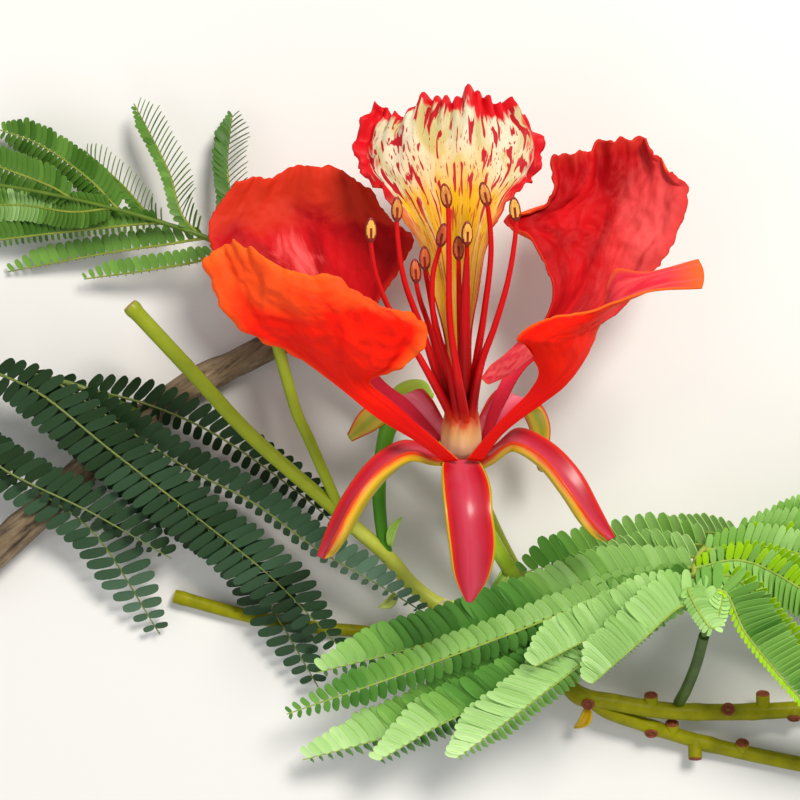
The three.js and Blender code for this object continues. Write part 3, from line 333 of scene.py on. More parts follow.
# Where stalks swell: the share of the length, the rise as a share of the radius, and the spread
SWELLINGS = {
    "side_axis": ((0.46, 0.22, 0.05),),
    "green_pedicel": ((0.0, 0.25, 0.05), (0.86, 0.65, 0.13), (1.0, -0.97, 0.04)),
    "long_bare_pedicel": ((0.985, 0.14, 0.012),),
    "lower_bare_pedicel": ((0.98, 0.10, 0.01),),
    "raceme_axis": ((0.06, 0.12, 0.03), (0.27, 0.07, 0.02), (0.42, 0.08, 0.02), (0.6, 0.08, 0.02)),
    "lower_axis": ((0.25, 0.12, 0.03), (0.45, 0.14, 0.03)),
}

# Stalks with a cut end that shows: 1 for the far end of the path, 0 for its start
CUT_ENDS = (("long_bare_pedicel", 1), ("lower_bare_pedicel", 1), ("raceme_axis", 1), ("lower_axis", 1),
            ("woody_twig", 0))

# Cut faces: their share of the stalk's radius, how far in mm they stand off it, and their thickness, the
# width of their inset as a share of the radius, and the inset's depth in metres
CUT_FACE = 0.93
CUT_LIFT = 0.05
CUT_THICKNESS = 0.0003
CUT_INSET = (0.4, -0.00012)

# The way that the twig runs, as its cosine and sine, and the angle that turns its bark's streaks
TWIG_HEADING = (0.79, 0.61)
TWIG_ANGLE = 0.66

# Leaves: the rachis with its two radii, and each pinna's path and half width
LEAVES = {
    "right_leaf": {
        "rachis": ((60.6, -46.6, 34.2), (60.1, -43.9, 37.4), (58.8, -37.9, 38), (58.3, -32.9, 36),
                   (62, -28.6, 32), (72.8, -25.4, 24.5), (91.6, -22.5, 14), (106.7, -21.1, 7)),
        "radii": (1.05, 0.6),
        "pinnae": {
            "r9": (((59.6, -42, 37.8), (56.6, -40.2, 38.4), (47.5, -47.7, 37), (38.3, -56.7, 33)), 6.6),
            "r8": (((59.2, -40.1, 38), (51.3, -40.6, 38), (41.7, -45.2, 35.5), (26.5, -53.7, 31)), 6.4),
            "r7": (((59, -38.9, 37.9), (47.6, -44, 36), (36.9, -52.5, 31), (21.6, -65.6, 24),
                   (11.9, -73.5, 19)), 6.8),
            "r6": (((58.6, -37.1, 37.8), (45.9, -45.9, 33), (28.4, -56.4, 26), (8.6, -66.7, 19),
                   (-4.2, -74.8, 15)), 6.6),
            "r5": (((58.3, -35.8, 37.5), (40.2, -44.2, 30), (16.4, -59.6, 20), (-2.1, -69.7, 14),
                   (-20.4, -75.7, 9)), 6.6),
            "r4": (((58.1, -34.4, 37), (43.9, -38.3, 33), (24.2, -46.5, 27.5), (0, -56.4, 20.5),
                   (-23.5, -65.3, 14.5)), 6.8),
            "r3": (((58.2, -33.1, 36.2), (42.2, -36.2, 30), (24.5, -43.2, 23.5), (4.1, -50.7, 18),
                   (-17.5, -56.9, 13)), 6.8),
            "r2": (((59.5, -31, 34.6), (50.3, -32.8, 29), (39.8, -36.8, 22.5), (28.4, -42.6, 16.5)), 6.4),
            "r1": (((61.6, -29, 32.2), (51.8, -29.3, 25), (39.3, -32.3, 17), (25.5, -36.2, 11.5)), 6.6),
            "r0": (((68.7, -26.9, 27.4), (59.6, -27.3, 20), (50.1, -29.2, 13), (42.2, -32.5, 8)), 6.2),
            "q1": (((59, -38.3, 38.1), (56.7, -37, 39.2), (58.8, -41.7, 39.6), (61.6, -44.9, 39.2),
                   (63.2, -40.6, 38.8), (63.9, -36.5, 38.2)), 4.6),
            "q2": (((59, -38.7, 38), (63.4, -37.4, 38.6), (68.5, -46.1, 35), (80.9, -60.3, 27),
                   (92.8, -72.6, 18)), 6.6),
            "q3": (((58.5, -35.6, 37.4), (65.3, -34.8, 37), (76.3, -45.8, 30), (92.4, -59.6, 20),
                   (105.5, -70, 12)), 6.6),
            "q4": (((58.2, -33.3, 36.4), (67.7, -31.9, 34), (83.3, -39.4, 25), (102, -51, 14),
                   (116.2, -59.2, 7)), 6.6),
            "q5": (((60.4, -29.9, 33.4), (72.5, -29.4, 29), (90.6, -34.2, 19), (111.7, -42.2, 8)), 6.4),
            "q6": (((67.6, -26.8, 28.2), (81.8, -27, 22), (100.3, -29.7, 12), (119.1, -34, 4)), 6.2),
            "q7": (((82.3, -23.9, 19.4), (91.6, -22.5, 14), (105.4, -20, 8), (120.5, -17.1, 2.5)), 6.2),
            "q8": (((73.3, -25.2, 24.2), (80.5, -23.9, 18), (92.2, -20.9, 11), (104, -18, 5)), 6.2),
            "s1": (((58.9, -32.2, 35.4), (70.2, -30.9, 31), (88.1, -37.3, 21), (111.5, -48.4, 9)), 6.2),
            "s2": (((62.5, -28.2, 31.4), (77.2, -28, 25), (95.5, -31.6, 15), (116.4, -39.2, 6)), 6.2),
            "s3": (((71.4, -25.6, 25.6), (82.1, -24.6, 20.5), (100.5, -25.6, 11),
                   (119.1, -27.6, 4)), 6.0),
        },
    },
    "left_leaf": {
        "rachis": ((-62.1, 0.7, 12.1), (-67.2, 2.9, 13), (-71.9, 4.2, 13.4), (-83.3, 6.2, 13.6),
                   (-93.9, 4.6, 12.5), (-105.4, -0.4, 8)),
        "radii": (1.05, 0.6),
        "pinnae": {
            "l1": (((-96.1, 4.2, 12.2), (-91.6, -6.2, 14), (-83.2, -13.9, 14), (-64, -23.8, 12),
                   (-48, -33.4, 9)), 6.6),
            "l2": (((-100.7, 2.1, 10.4), (-92.2, -8.4, 11), (-75.5, -19.3, 10.6), (-64.9, -27.6, 8.4),
                   (-51.2, -49.9, 2.6)), 6.4),
            "l3": (((-85.4, 6.2, 13.6), (-75.2, 1.7, 16), (-60.3, -10.2, 15.6), (-41.7, -25, 13),
                   (-27, -37.1, 11), (-13.1, -51.6, 8.5)), 6.9),
            "l4": (((-79.1, 5.6, 13.6), (-67.1, -5.2, 10.4), (-48.4, -21.5, 9), (-34.4, -32.1, 7.6),
                   (-25, -47.7, 5.6), (-17.4, -61, 4)), 6.5),
            "l5": (((-72.5, 4.4, 13.4), (-58.5, -5.2, 12.4), (-43.9, -14.6, 12), (-30.5, -21.5, 12.4),
                   (-17.2, -30.9, 15.6), (-2.9, -39.2, 15.8), (6, -44.9, 14.2)), 6.0),
            "l6": (((-66.8, 2.7, 12.9), (-52.6, -1.1, 9), (-39, -7.2, 8.4), (-21.1, -19.8, 8),
                   (-12.7, -27, 7.4)), 5.6),
            "l7": (((-96.5, 4.2, 12.1), (-101, 12.6, 9), (-105.3, 23.4, 4.6), (-107.8, 32.1, 1.2)), 5.8),
            "l8": (((-104, 0.2, 8.7), (-110, 5.9, 6.5), (-117.1, 14.9, 3.4), (-120.8, 23.5, 1.2)), 5.8),
        },
    },
    "upper_left_leaf": {
        "rachis": ((-29.1, 25.4, 11.1), (-39.6, 33.4, 13), (-49.9, 37, 14), (-60.3, 40, 14),
                   (-73.1, 43, 12.5), (-86.2, 45.4, 9), (-97.6, 46.2, 5)),
        "radii": (0.95, 0.5),
        "pinnae": {
            "u1": (((-37.2, 31.7, 12.6), (-40.1, 29.7, 12), (-52.6, 27.4, 8.5), (-67.1, 25.7, 4.5)), 4.2),
            "u2": (((-40.7, 33.8, 13), (-48.2, 32.7, 11), (-61.8, 31.1, 6.5), (-83.8, 27.4, 1.6)), 4.2),
            "u3": (((-50, 37, 13.9), (-62.8, 36, 11), (-84.7, 33.9, 6), (-98.2, 32, 2.2)), 4.4),
            "u4": (((-41.7, 34.2, 13.2), (-45.4, 38.5, 14), (-48.4, 47.5, 11), (-56.3, 62.7, 6)), 4.2),
            "u5": (((-34.3, 29.2, 12.2), (-35.3, 38.8, 10), (-36.5, 50.7, 7), (-35.7, 60.6, 4)), 4.4),
            "u6": (((-48.9, 36.8, 13.9), (-52.1, 38.6, 13), (-58.6, 45.4, 9.5), (-66.9, 52.9, 6)), 4.2),
            "u7": (((-59.9, 40, 14), (-68.1, 39.3, 12), (-80.1, 41.1, 8), (-93.6, 40.9, 3.6)), 4.2),
            "u8": (((-68.8, 42.1, 13), (-72.3, 44.3, 12), (-84.3, 49.1, 8), (-95.9, 53.3, 3)), 4.4),
            "u9": (((-58.7, 39.7, 14), (-64.8, 46, 12), (-75.9, 53.8, 8), (-84.9, 57.3, 5)), 4.2),
        },
    },
}

# Round scars that fallen flowers left on the two axes: the axis's middle, and the scar's face
SCARS = {
    "raceme_axis": (
        ((39.7, -62.8, 7.7), (39.5, -63.9, 9.4)), ((53.1, -65.1, 6.7), (52.9, -62.3, 7.9)),
        ((69.6, -66.2, 4.9), (69.3, -65.3, 7.1)), ((83.8, -65.8, 3.5), (83.6, -67.5, 4.7)),
        ((77.1, -66, 4.2), (76.9, -62.3, 5.4)),
    ),
    "lower_axis": (
        ((53.3, -69.4, 4.6), (53.2, -70.6, 5.8)), ((57.8, -70.9, 3.8), (57.7, -68.6, 5)),
        ((72.9, -75, 2.4), (72.8, -73, 3.6)), ((62.8, -72.5, 3.1), (62.7, -76.1, 4.3)),
    ),
}

# Radii of a scar and of the knob's scar in metres, and how tall a scar that faces sideways stands
SCAR_RADIUS = 0.00145
KNOB_RADIUS = 0.0015
SIDEWAYS_SCAR = 0.82

# Insets that press a scar's ring and its sunken middle: width and depth in metres
SCAR_INSETS = ((0.00012, 0.00025), (0.0003, 0.0001), (0.0003, -0.0003), (0.0002, 0.00018))

# How each pinna carries its leaflets: their pitch in mm, then for its left and its right side the length as
# a share of the half width, the lean in degrees, the tilt toward the viewer and the roll in radians, and the
# width in mm. None is the leaf's usual value.
HABITS = {
    "right_leaf": {
        "usual": (2.1, (0.6, 66, -0.9, 0.25, 2.5), (1.08, 68, 0.1, 0.2, 2.95)),
        "r9": (0.92, (0.17, 60, -0.8, 0.6, 1.1), (1.15, 92, 0.2, 0.24, 2.0)),
        "r8": (1.08, (0.25, 60, -0.7, 0.6, 1.3), (1.12, 84, 0.15, 0.24, 2.05)),
        "r7": (1.55, (0.5, 66, -0.5, 0.2, 1.6), (1.25, 56, 0.1, 0.16, 2.3)),
        "r6": (1.75, (0.8, 60, -0.8, 0.3, 2.1), (1.18, 66, 0.1, 0.16, 2.55)),
        "r5": (None, (0.7, 66, -0.9, 0.25, 2.3), (1.12, 70, 0.08, 0.18, 2.9)),
        "r4": (None, (0.62, 58, -0.35, 0.25, 2.4), (0.72, 62, -0.3, 0.2, 2.7)),
        "r3": (None, (0.62, 62, -0.7, 0.25, 2.3), (1.08, 70, 0.08, 0.16, 3.0)),
        "r2": (1.8, None, (1.1, 70, 0.1, 0.22, 2.8)),
        "r1": (2.4, None, (1.02, 70, 0.1, 0.2, 2.9)),
        "r0": (1.7, (0.8, 68, 0.1, 0.25, 2.4), (0.72, 64, 0.3, 0.25, 2.5)),
        "q1": (0.8, (0.62, 62, 0.1, 0.3, 1.8), (0.4, 70, -0.3, 0.3, 1.8)),
        "q2": (1.4, (1.12, 76, 0.1, 0.4, 2.2), (0.27, 40, 0.2, 0.3, 1.4)),
        "q3": (1.6, (0.5, 86, 0.5, 0.3, 1.7), (0.95, 62, 0.1, 0.3, 2.3)),
        "q4": (1.6, (0.6, 84, 0.4, 0.25, 1.9), (0.95, 60, 0.05, 0.3, 2.3)),
        "q5": (1.7, (0.75, 74, 0.2, 0.25, 2.2), (0.95, 58, 0.05, 0.25, 2.3)),
        "q6": (1.8, (0.85, 66, 0.2, 0.25, 2.3), (0.95, 58, 0.05, 0.25, 2.4)),
        "q7": (1.9, (0.9, 62, 0.2, 0.25, 2.4), (0.95, 58, 0.05, 0.25, 2.4)),
        "q8": (1.9, (0.7, 62, 0.3, 0.25, 2.4), (0.95, 58, 0.05, 0.25, 2.4)),
        "s1": (1.6, (0.5, 82, 0.5, 0.3, 1.7), (0.95, 60, 0.1, 0.3, 2.3)),
        "s2": (1.6, (0.6, 78, 0.4, 0.25, 1.9), (0.95, 60, 0.1, 0.25, 2.3)),
        "s3": (1.7, (0.8, 66, 0.2, 0.25, 2.3), (0.95, 58, 0.05, 0.25, 2.4)),
    },
    "left_leaf": {
        "usual": (2.45, (1.02, 60, 0.05, 0.2, 2.2), (0.97, 108, -0.05, 0.2, 2.15)),
        "l1": (None, None, (0.5, 80, -0.8, 0.3, 2.2)),
        "l2": (2.8, (0.98, 80, 0.05, 0.2, 2.4), (0.9, 112, -0.05, 0.2, 2.35)),
        "l5": (None, (0.9, 62, 0.1, 0.2, 2.4), (0.5, 80, -0.9, 0.3, 2.2)),
        "l6": (None, None, (0.6, 80, -0.5, 0.3, 2.2)),
    },
    "upper_left_leaf": {
        "usual": (1.35, (0.9, 68, -0.3, 0.25, 1.7), (1.05, 64, 0.1, 0.25, 1.85)),
        "u1": (1.8, (0.15, 60, -0.8, 0.3, 0.8), (0.78, 74, 0.1, 0.1, 1.9)),
        "u2": (2.05, (0.13, 60, -0.8, 0.3, 0.8), (0.98, 70, 0.1, 0.1, 2.1)),
        "u3": (None, (0.4, 68, -0.6, 0.3, 1.4), (1.0, 68, 0.0, 0.25, 1.9)),
        "u4": (1.25, (0.6, 40, 0.2, 0.1, 2.2), (1.3, 52, 0.1, 1.3, 1.3)),
        "u5": (1.25, (0.85, 44, 0.2, 0.1, 2.3), (1.2, 50, 0.1, 1.3, 1.3)),
        "u6": (1.25, (0.6, 44, 0.2, 0.15, 2.0), (1.0, 56, 0.1, 1.1, 1.3)),
        "u7": (0.95, (0.8, 76, -0.1, 0.35, 1.9), (1.0, 76, 0.1, 0.35, 1.9)),
    },
}

# How far along each pinna its first leaflets stand, in mm
FIRST_LEAFLETS = {"right_leaf": 0.9, "left_leaf": 2.0, "upper_left_leaf": 0.8}

# How sunlit the leaflets are, from 0 to 1 and from root to tip of each pinna. Plus is its left side, minus
# its right side, neither is both, and the star stands for the pinnae that aren't named.
LIGHT = {
    "right_leaf": {
        "*": (0.4, 0.4), "r9-": (0.6, 0.66, 0.72, 0.82), "r9+": (0.4,), "r8-": (0.55, 0.64, 0.7, 0.82),
        "r8+": (0.45,), "r7-": (0.6, 0.7, 0.72, 0.78, 0.95), "r7+": (0.4, 0.5),
        "r6-": (0.5, 0.4, 0.3, 0.26, 0.3, 0.72, 0.88), "r6+": (0.15,),
        "r5-": (0.4, 0.35, 0.28, 0.28, 0.35, 0.68, 0.84), "r5+": (0.2,),
        "r4-": (0.5, 0.6, 0.66, 0.6, 0.4, 0.4), "r4+": (0.25, 0.3),
        "r3-": (0.62, 0.62, 0.66, 0.62, 0.28, 0.25, 0.28, 0.34, 0.64, 0.8), "r3+": (0.25, 0.3),
        "r2-": (0.7, 0.68, 0.6, 0.35, 0.3), "r2+": (0.2,), "r1-": (0.66, 0.6, 0.5, 0.4, 0.34),
        "r1+": (0.3,), "r0-": (0.72, 0.72, 0.66, 0.6), "r0+": (0.4,), "q1": (0.62, 0.72),
        "q2+": (0.52, 0.42, 0.36, 0.36), "q2-": (0.6,), "q3": (0.5, 0.45), "q4": (0.5, 0.55),
        "q5": (0.5, 0.6), "q6": (0.6, 0.5), "q7": (0.6,), "q8": (0.65,), "s1": (0.55, 0.5),
        "s2": (0.45, 0.6), "s3": (0.6, 0.5),
    },
    "left_leaf": {
        "*": (0.3, 0.35), "l2": (0.3, 0.5, 0.7), "l3": (0.3, 0.4, 0.45, 0.4),
        "l5": (0.3, 0.35, 0.5, 0.75, 0.8), "l6": (0.25, 0.3), "l4": (0.25, 0.3, 0.5),
    },
    "upper_left_leaf": {
        "*": (0.44, 0.5), "u1-": (0.5, 0.6, 0.75), "u2-": (0.5, 0.6, 0.75),
        "u7": (0.4, 0.45, 0.5, 0.9, 0.95, 0.5, 0.45), "u6-": (0.4, 0.7), "u4": (0.55, 0.45),
        "u5": (0.3, 0.4),
    },
}

# The share of leaflets that glow yellow-green against the light
GLOWING = {"q2-": 0.95, "q3+": 0.9, "s1+": 0.8, "q4+": 0.55, "s2+": 0.2}

# How far the light varies from leaflet to leaflet and from patch to patch, and a patch's size in mm
LIGHT_SPREAD = 0.03
PATCH_LIGHT = 0.16
PATCH_SIZE = 9.0

# Where the rows of a leaflet's outline lie along it, its thickness as a share of its length, and how far
# in mm from the rib's middle it starts
LEAFLET_ROWS = (0, 0.05, 0.16, 0.4, 0.68, 0.88, 0.965, 1)
LEAFLET_THICKNESS = 0.07
LEAFLET_START = 0.15

# How much the leaflets' lean, tilt and roll vary, in radians, and their length and width, as shares
LEAN_SPREAD, TILT_SPREAD, ROLL_SPREAD = 0.022, 0.035, 0.04
LENGTH_RANGE, WIDTH_RANGE = (0.95, 1.03), (0.97, 1.03)

# A leaflet's share of full length at the root and tip of its pinna, and how fast that grows inward
ROOT_TAPER = (0.6, 2.4)
TIP_TAPER = (0.34, 3.4)

# The share of a pinna past which its leaflets turn forward, and the degrees of that turn for each share
TIP_TURN_FROM, TIP_TURN = 0.8, 70

# The rib's radius in mm, and its radii and the rachis's from root to tip as shares
RIB_RADIUS = 0.3
RIB_TAPER = (1, 0.8, 0.45)
RACHIS_TAPER = ((0.7, 0), (0.42, 0), (0, 0.6))

# Small bracts: their look, foot, tip and width
BRACTS = (
    ("green", (-2.1, -30.4, 13.6), (0.4, -24.3, 15), 1.7),
    ("pale", (-0.8, -40.7, 10.5), (-4.6, -43.5, 9.5), 2.0),
    ("green", (21.9, -35.2, 16.8), (18.9, -39, 15.6), 2.4),
    ("golden", (39.7, -65.1, 7), (36.9, -69.6, 5), 2.4),
)

# The bracts' thickness in mm
BRACT_THICKNESS = 0.3

# The top of the knob on the side axis
KNOB = (9.5, -43, 12.7)

# Samples that measure a curve, and the step along it that gives its direction
CURVE_SAMPLES = 400
CURVE_STEP = 0.004

# Blade widths in mm between which a petal's ruffle grows to full
FULL_RUFFLE_WIDTHS = (5, 30)

# Lights: name, place, diameter, power and colour. All face the lit point.
LIGHTS = (
    ("key", (0.32, 0.5, 0.85), 0.35, 10.5, (1.0, 0.96, 0.9)),
    ("fill", (-0.7, -0.2, 0.6), 0.8, 1.6, (0.92, 0.96, 1.0)),
    ("front", (0.1, -0.75, 0.5), 0.6, 1.3, (1.0, 0.98, 0.95)),
)
LIT_POINT = (0, 0, 0.03)
SKY_COLOUR, SKY_STRENGTH = (0.95, 0.97, 1.0), 0.45

# The table: its width in metres, its gap under the sprig and its colour
TABLE_WIDTH = 6
FLOOR_GAP = 0.0004
TABLE_COLOUR = (0.74, 0.73, 0.70)

# The camera's focal length in mm and the nearest that it sees in metres
LENS = 100
NEAREST = 0.01


def column_low_corner():
    """The lowest corner of the pale column's box in the layout, from its profile and lean."""
    cosine, sine = math.cos(BLOOM_TILT), math.sin(BLOOM_TILT)
    low_y = min(h * cosine - r * sine for r, h in COLUMN_PROFILE)
    low_z = min(h * sine - r * cosine for r, h in COLUMN_PROFILE)
    widest = max(r for r, _ in COLUMN_PROFILE)
    return np.array(BLOOM_CENTRE) + (-widest, low_y, low_z)


# From the layout's origin to the frame's, in millimetres
SHIFT = np.array(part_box("pale_column")[0]) * MM - column_low_corner()


def placed(points):
    """Layout places in millimetres turned to places in the frame, in metres."""
    return (np.asarray(points, float) + SHIFT) / MM


def linear(colour):
    """Linear red, green and blue of six hex digits, a grey level or a colour that is linear already."""
    if isinstance(colour, str):
        parts = [int(colour[i : i + 2], 16) / 255 for i in (0, 2, 4)]
        return tuple(((c + 0.055) / 1.055) ** 2.4 if c > 0.04045 else c / 12.92 for c in parts)
    if isinstance(colour, (int, float)):
        return (colour,) * 3
    return tuple(colour)


def dimmed(colour, share):
    return tuple(c * share for c in linear(colour))


def unit(vectors):
    """The same directions, each one long."""
    return vectors / np.maximum(np.linalg.norm(vectors, axis=-1, keepdims=True), TINY)


def smooth(value, low, high):
    """0 below low, 1 above high, and an even ease between them."""
    share = np.clip((value - low) / (high - low), 0, 1)
    return share * share * (3 - 2 * share)


def spline(points, where):
    """Places on the centripetal curve through the points, for shares from 0 to 1."""
    points = np.asarray(points, float)
    count = len(points) - 1
    padded = np.vstack((2 * points[0] - points[1], points, 2 * points[-1] - points[-2]))
    scaled = np.clip(np.atleast_1d(where), 0, 1) * count
    first = np.minimum(scaled.astype(int), count - 1)
    local = (scaled - first)[:, None]
    p0, p1, p2, p3 = (padded[first + i] for i in range(4))
    d0, d1, d2 = (np.maximum(np.linalg.norm(b - a, axis=1, keepdims=True) ** 0.5, 1e-4)
                  for a, b in ((p0, p1), (p1, p2), (p2, p3)))
    start = ((p1 - p0) / d0 - (p2 - p0) / (d0 + d1) + (p2 - p1) / d1) * d1
    end = ((p2 - p1) / d1 - (p3 - p1) / (d1 + d2) + (p3 - p2) / d2) * d1
    a = 2 * p1 - 2 * p2 + start + end
    b = -3 * p1 + 3 * p2 - 2 * start - end
    return ((a * local + b) * local + start) * local + p1


def evenly(points, shares):
    """Places on the curve at shares of its length, the directions there, and the curve's length."""
    fine = np.linspace(0, 1, CURVE_SAMPLES)
    line = spline(points, fine)
    run = np.concatenate(([0], np.cumsum(np.linalg.norm(np.diff(line, axis=0), axis=1))))
    where = np.interp(np.asarray(shares) * run[-1], run, fine)
    after, before = np.minimum(where + CURVE_STEP, 1), np.maximum(where - CURVE_STEP, 0)
    ahead = spline(points, after) - spline(points, before)
    return spline(points, where), unit(ahead), run[-1]


def on_rails(stations, u, v):
    """Places on the blade through the stations, at shares across (u) and along (v), with the blade's normal
    and the direction of its length there."""
    stations = np.asarray(stations, float)
    rows, row = np.unique(np.round(v, 6), return_inverse=True)
    columns, column = np.unique(np.round(u, 6), return_inverse=True)
    rails = [spline(stations[:, i], rows) for i in range(stations.shape[1])]
    table = np.array([spline([rail[r] for rail in rails], columns) for r in range(len(rows))])
    across = np.gradient(table, columns, axis=1)
    along = np.gradient(table, rows, axis=0)
    return tuple(grid[row, column] for grid in (table, unit(np.cross(across, along)), unit(along)))


def crease(points, size, seed):
    """Sharp soft-cloth creases: 1 along a fold, falling below -1 between folds."""
    scaled = np.asarray(points) / size + seed * 7.3
    return np.array([1 - 2.6 * abs(noise.noise(Vector(place))) for place in scaled])


def creases(points, layers, seed=0):
    """Layers of creases laid over each other."""
    return sum(height * crease(points * np.array(stretch), size, seed + more)
               for height, stretch, size, more in layers)


# Making pieces
def name_active(name):
    """The active object, named together with its data."""
    piece = bpy.context.view_layer.objects.active
    piece.name = name
    piece.data.name = name
    return piece


def primitive(name, add, **settings):
    """What one of Blender's add operators makes, named and alone selected."""
    bpy.ops.object.select_all(action="DESELECT")
    add(**settings)
    return name_active(name)


def select_only(*pieces):
    """Leaves just these pieces selected, with the first one active."""
    bpy.ops.object.select_all(action="DESELECT")
    for piece in pieces:
        piece.select_set(True)
    bpy.context.view_layer.objects.active = pieces[0]


def apply_modifiers(piece):
    select_only(piece)
    for modifier in list(piece.modifiers):
        bpy.ops.object.modifier_apply(modifier=modifier.name)


def join(name, pieces):
    """Joins pieces into the first one."""
    select_only(*pieces)
    if len(pieces) > 1:
        bpy.ops.object.join()
    return name_active(name)


def finish_piece(piece, nodes=(), angle=None):
    """Smooths a piece, sets it on the root body and hides the imported parts of the nodes that it stands
    for. With an angle in degrees, steeper edges stay sharp."""
    select_only(piece)
    if angle is None:
        bpy.ops.object.shade_smooth()
    else:
        bpy.ops.object.shade_smooth_by_angle(angle=math.radians(angle))
    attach(piece, "root")
    if nodes:
        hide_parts(*nodes)


def local_places(piece):
    """Where each vertex of a piece is, in the piece's own units."""
    flat = np.zeros(len(piece.data.vertices) * 3, np.float32)
    piece.data.vertices.foreach_get("co", flat)
    return flat.reshape(-1, 3).astype(float)


def set_places(piece, places):
    """Moves every vertex of a piece, in metres."""
    piece.data.vertices.foreach_set("co", places.astype(np.float32).ravel())
    piece.data.update()


def use(piece, *materials):
    piece.data.materials.clear()
    for material in materials:
        piece.data.materials.append(material)


def sheet_of(name, across, along):
    """A flat grid with its own map, and the share across and along at each vertex."""
    piece = primitive(name, bpy.ops.mesh.primitive_grid_add, size=1, x_subdivisions=across,
                      y_subdivisions=along)
    flat = local_places(piece)
    return piece, flat[:, 0] + 0.5, flat[:, 1] + 0.5


def thicken(piece, thickness, looks=(1, 2), offset=0.0, group="", thinnest=0.0):
    """Gives a sheet its thickness in mm, with the materials of those numbers on its back and rim. A vertex
    group thins it where the group is weak."""
    solid = piece.modifiers.new("thickness", "SOLIDIFY")
    solid.thickness = thickness / MM
    solid.offset = offset
    solid.vertex_group = group
    solid.thickness_vertex_group = thinnest
    solid.material_offset, solid.material_offset_rim = looks
    apply_modifiers(piece)


def tube(name, points, radii, sides, rings=60, swellings=()):
    """A round limb along a path: a curve with its radius at each point, made a mesh with closed ends. Each
    swelling has its place, rise and spread, as shares of the length and of the radius."""
    shares = np.linspace(0, 1, rings)
    line, _, _ = evenly(points, shares)
    radius = np.interp(shares, np.linspace(0, 1, len(radii)), radii)
    radius = radius * (1 + sum(rise * np.exp(-((shares - at) / spread) ** 2)
                               for at, rise, spread in swellings))
    curve = primitive(name, bpy.ops.curve.primitive_nurbs_path_add).data
    curve.splines.clear()
    strand = curve.splines.new("POLY")
    strand.points.add(rings - 1)
    for point, place, wide in zip(strand.points, placed(line), radius):
        point.co = (*place, 1)
        point.radius = wide
    curve.dimensions = "3D"
    curve.twist_mode = "MINIMUM"
    curve.bevel_depth = 1 / MM
    curve.bevel_resolution = max(sides // 4 - 1, 0)
    curve.use_fill_caps = True
    bpy.ops.object.convert(target="MESH")
    return name_active(name)


def stub(name, middle, way, size, sides, insets, looks):
    """A short cylinder along a direction, with insets pressed into the end that faces that way. The size is
    its radius and length in metres; of two looks, the second is for that end."""
    radius, length = size
    piece = primitive(name, bpy.ops.mesh.primitive_cylinder_add, vertices=sides, radius=radius, depth=length,
                      end_fill_type="NGON")
    way = Vector(way)
    piece.rotation_mode = "QUATERNION"
    piece.rotation_quaternion = way.to_track_quat("Z", "Y")
    piece.location = placed([middle])[0]
    bpy.ops.object.transform_apply(location=True, rotation=True)
    use(piece, *looks)
    bpy.ops.object.mode_set(mode="EDIT")
    mesh = bmesh.from_edit_mesh(piece.data)
    bpy.ops.mesh.select_all(action="DESELECT")
    for face in mesh.faces:
        face.select = len(face.verts) > 4 and face.normal.dot(way) > 0
        face.material_index = len(looks) - 1 if face.select else 0
    bmesh.update_edit_mesh(piece.data)
    for thickness, depth in insets:
        bpy.ops.mesh.inset(thickness=thickness, depth=depth)
    bpy.ops.object.mode_set(mode="OBJECT")
    return piece


